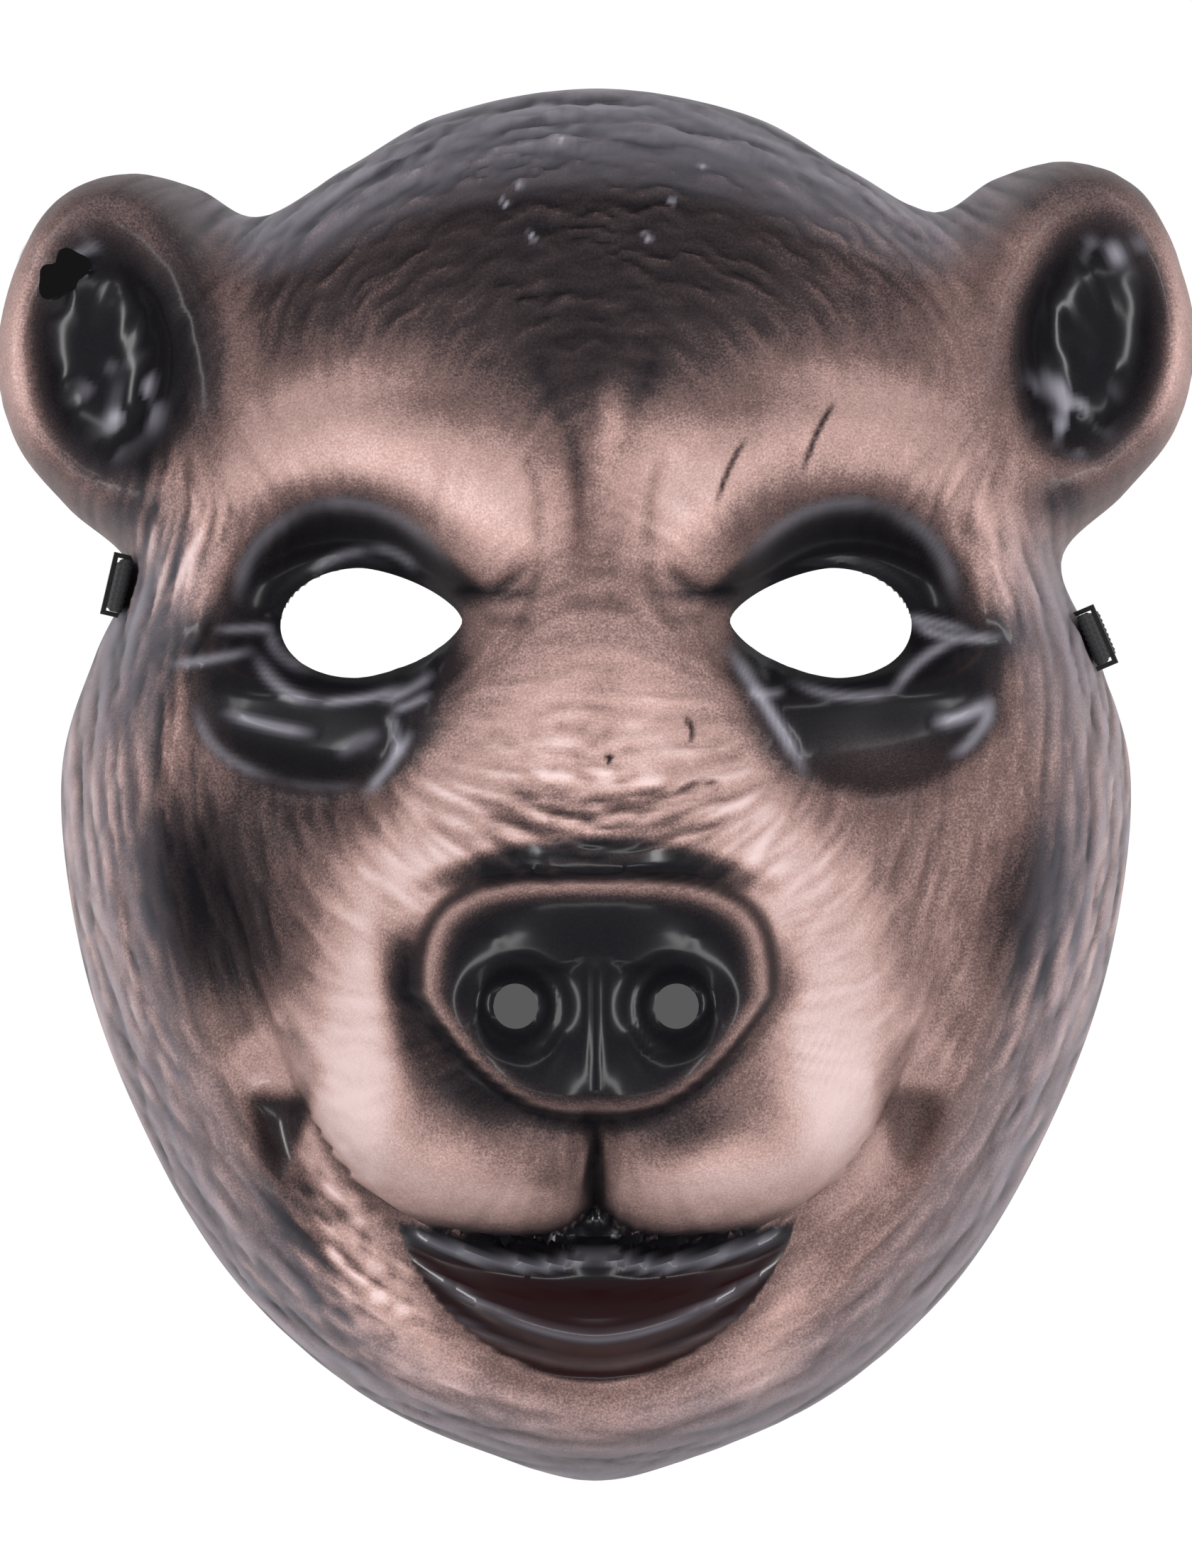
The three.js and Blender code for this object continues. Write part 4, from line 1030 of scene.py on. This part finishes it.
def strap_band(steps, around):
    """A flat ribbed profile carried along the strap's line and turned with the way across it.
    The profile's thickness rises and falls as a cosine across its width, once for each rib, and
    the whole profile grows towards the ends as exp(-(distance / reach)^6)."""
    places, across = strap_knots()
    spacing = np.linalg.norm(np.diff(places, axis=0), axis=1) ** 0.5
    line = smooth_through(places, spacing, steps)
    way = smooth_through(across, spacing, steps)
    along = unit(np.gradient(line, axis=0))
    way = unit(way - (way * along).sum(1, keepdims=True) * along)
    through = np.cross(along, way)
    share = np.linspace(-1, 1, around)
    thick = STRAP_THICK / 2 * (0.82 + 0.18 * np.cos(np.pi * STRAP_RIBS * (share + 1)))
    thick[[0, -1]] *= 0.45
    wide = np.concatenate([share, share[::-1]]) * STRAP_WIDTH / 2
    high = np.concatenate([-thick, thick[::-1]])
    run = run_along(line)
    swollen = bell(np.minimum(run, run[-1] - run), STRAP_END, 6)[:, None, None]
    way = way[:, None] * (1 + END_WIDER * swollen)
    through = through[:, None] * (1 + END_THICKER * swollen)
    points = line[:, None] + wide[None, :, None] * way + high[None, :, None] * through
    ring = 2 * around
    index = np.arange(steps * ring).reshape(steps, ring)
    turned = np.roll(index, -1, 1)
    sides = np.stack([index[:-1], turned[:-1], turned[1:], index[1:]], -1).reshape(-1, 4)
    low, high_side = np.arange(around), ring - 1 - np.arange(around)
    cap = np.stack([low[:-1], high_side[:-1], high_side[1:], low[1:]], 1)
    return line, points.reshape(-1, 3), sides, cap, (steps - 1) * ring + cap[:, ::-1]


strap_line, strap_points, *strap_faces = strap_band(steps=520, around=37)
strap = mesh_piece("elastic_band", strap_points, *strap_faces)
strap_finish, tone, where = finish_of("ribbed_black_elastic")
fuzz = where.noise(scale=3000.0, detail=3.0, roughness=0.7)
thread = fuzz.toned((0.3, (14, 14, 15)), (0.75, (48, 48, 51)))
weave = tone.add("ShaderNodeBump", {}, {"Strength": 0.6, "Distance": 0.0002, "Height": fuzz})
tone.shaded("ShaderNodeBsdfPrincipled", {
    "Base Color": thread, "Roughness": 0.75 + 0.15 * fuzz, "Normal": weave})
strap.data.materials.append(strap_finish)
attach(strap, "root")
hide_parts("elastic_strap")
tuple(strap_line[0] * MM)
(strap_line[::4] * MM).tolist()


# The staples. One of blackened steel wire at each temple, driven from outside through the strap's
# end and the sheet.
staple_finish, tone, where = finish_of("drawn_steel_wire")
draw = where.noise(scale=1800.0, detail=4.0)
steel = draw.toned((0.3, (14, 14, 15)), (0.7, (30, 30, 32)))
tone.shaded("ShaderNodeBsdfPrincipled", {
    "Base Color": steel, "Roughness": 0.45 + 0.2 * draw})
for side in ("left", "right"):
    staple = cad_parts[f"strap_staple_{side}"]
    staple.data.materials.clear()
    staple.data.materials.append(staple_finish)


# The table and the lights. The mask lies face up on a white table that glows; under the shell its glow
# is cut to a painted shadow, left bright in the patches seen through the eyes. Strip lights stand at
# both sides, beyond the crown and beyond the chin, and the camera looks straight down.
TABLE_HALF = (125, 155)
TABLE_TOP = -0.4
# Patches of the table's glow, a painted shadow under the face and the tear: middle, half size, how sharp
# the edge is.
FACE_PATCH = (0, 0), (72, 98), 30.0
EYE_PATCHES = ((-41, 27), (19, 12.5), 20.0), ((41, 27), (19, 12.5), 20.0)
TEAR_PATCH = (-93.1, 89.2), (6.2, 6.2), 8.0
table_corners = np.array([(-1, -1), (1, -1), (1, 1), (-1, 1)]) * TABLE_HALF
table_points = np.column_stack([table_corners, np.full(4, TABLE_TOP)])
table = mesh_piece("lit_table", table_points, np.array([[0, 1, 2, 3]]))
table_finish, tone, where = finish_of("lit_white_table")


def outside(middle, half, sharp):
    """How far a place on the table is outside an oval patch: sharp (share of its reach - 1)."""
    scale = (1 / (half[0] * MM), 1 / (half[1] * MM), 0.0)
    spread = tone.add("ShaderNodeVectorMath", {"operation": "MULTIPLY"}, {0: where, 1: scale})
    centre = (middle[0] / half[0], middle[1] / half[1], 0.0)
    settings = {"operation": "DISTANCE"}
    share = tone.add("ShaderNodeVectorMath", settings, {0: spread, 1: centre}, out="Value")
    return (share - 1) * sharp


# Painted shadow: the glow falls to a tenth under the shell, stays full under the eyes, and all but goes
# under the tear.
clear_of_face = outside(*FACE_PATCH).held()
under_left_eye, under_right_eye = ((0 - outside(*patch)).held() for patch in EYE_PATCHES)
clear_of_tear = outside(*TEAR_PATCH).held(0.008)
lit = (clear_of_face + under_left_eye + under_right_eye).held(0.1) * clear_of_tear
white = lit.mixed((0.0, 0.0, 0.0, 1.0), (1.0, 1.0, 1.0, 1.0))
tone.shaded("ShaderNodeEmission", {"Color": white, "Strength": 1.02})
table.data.materials.append(table_finish)

MASK_MIDDLE = (0.0, 0.0, 0.04)


def strip_light(name, place, wide, high, power):
    """An area light that faces the middle of the mask, with its wide side level."""
    light = bpy.data.lights.new(name, "AREA")
    light.shape = "RECTANGLE"
    light.size, light.size_y = wide, high
    light.energy = power
    lamp = bpy.data.objects.new(name, light)
    lamp.location = place
    aim = Vector(MASK_MIDDLE) - Vector(place)
    lamp.rotation_euler = aim.to_track_quat("-Z", "Y").to_euler()
    bpy.context.scene.collection.objects.link(lamp)


strip_light("left_box", (-0.8, 0.0, 0.85), wide=1.2, high=0.2, power=11.1)
strip_light("right_box", (0.8, 0.0, 0.85), wide=1.2, high=0.2, power=11.7)
strip_light("crown_box", (0.0, 0.95, 0.75), wide=1.2, high=0.1, power=3.2)
strip_light("chin_box", (0.0, -0.75, 0.95), wide=1.0, high=0.08, power=1.8)

world = bpy.data.worlds.new("studio")
bpy.context.scene.world = world
world.use_nodes = True
sky = world.node_tree.nodes["Background"].inputs
sky["Color"].default_value = (0.93, 0.96, 1.0, 1.0)
sky["Strength"].default_value = 0.2
bpy.context.scene.view_settings.view_transform = "Standard"

CAMERA_HEIGHT, VIEW_TALL = 900, 270.9
camera = bpy.data.cameras.new("camera")
camera.sensor_width = 36.0
camera.lens = camera.sensor_width * CAMERA_HEIGHT / VIEW_TALL
camera_object = bpy.data.objects.new("camera", camera)
camera_object.location = (0.0, 0.0, CAMERA_HEIGHT * MM)
bpy.context.scene.collection.objects.link(camera_object)
bpy.context.scene.camera = camera_object
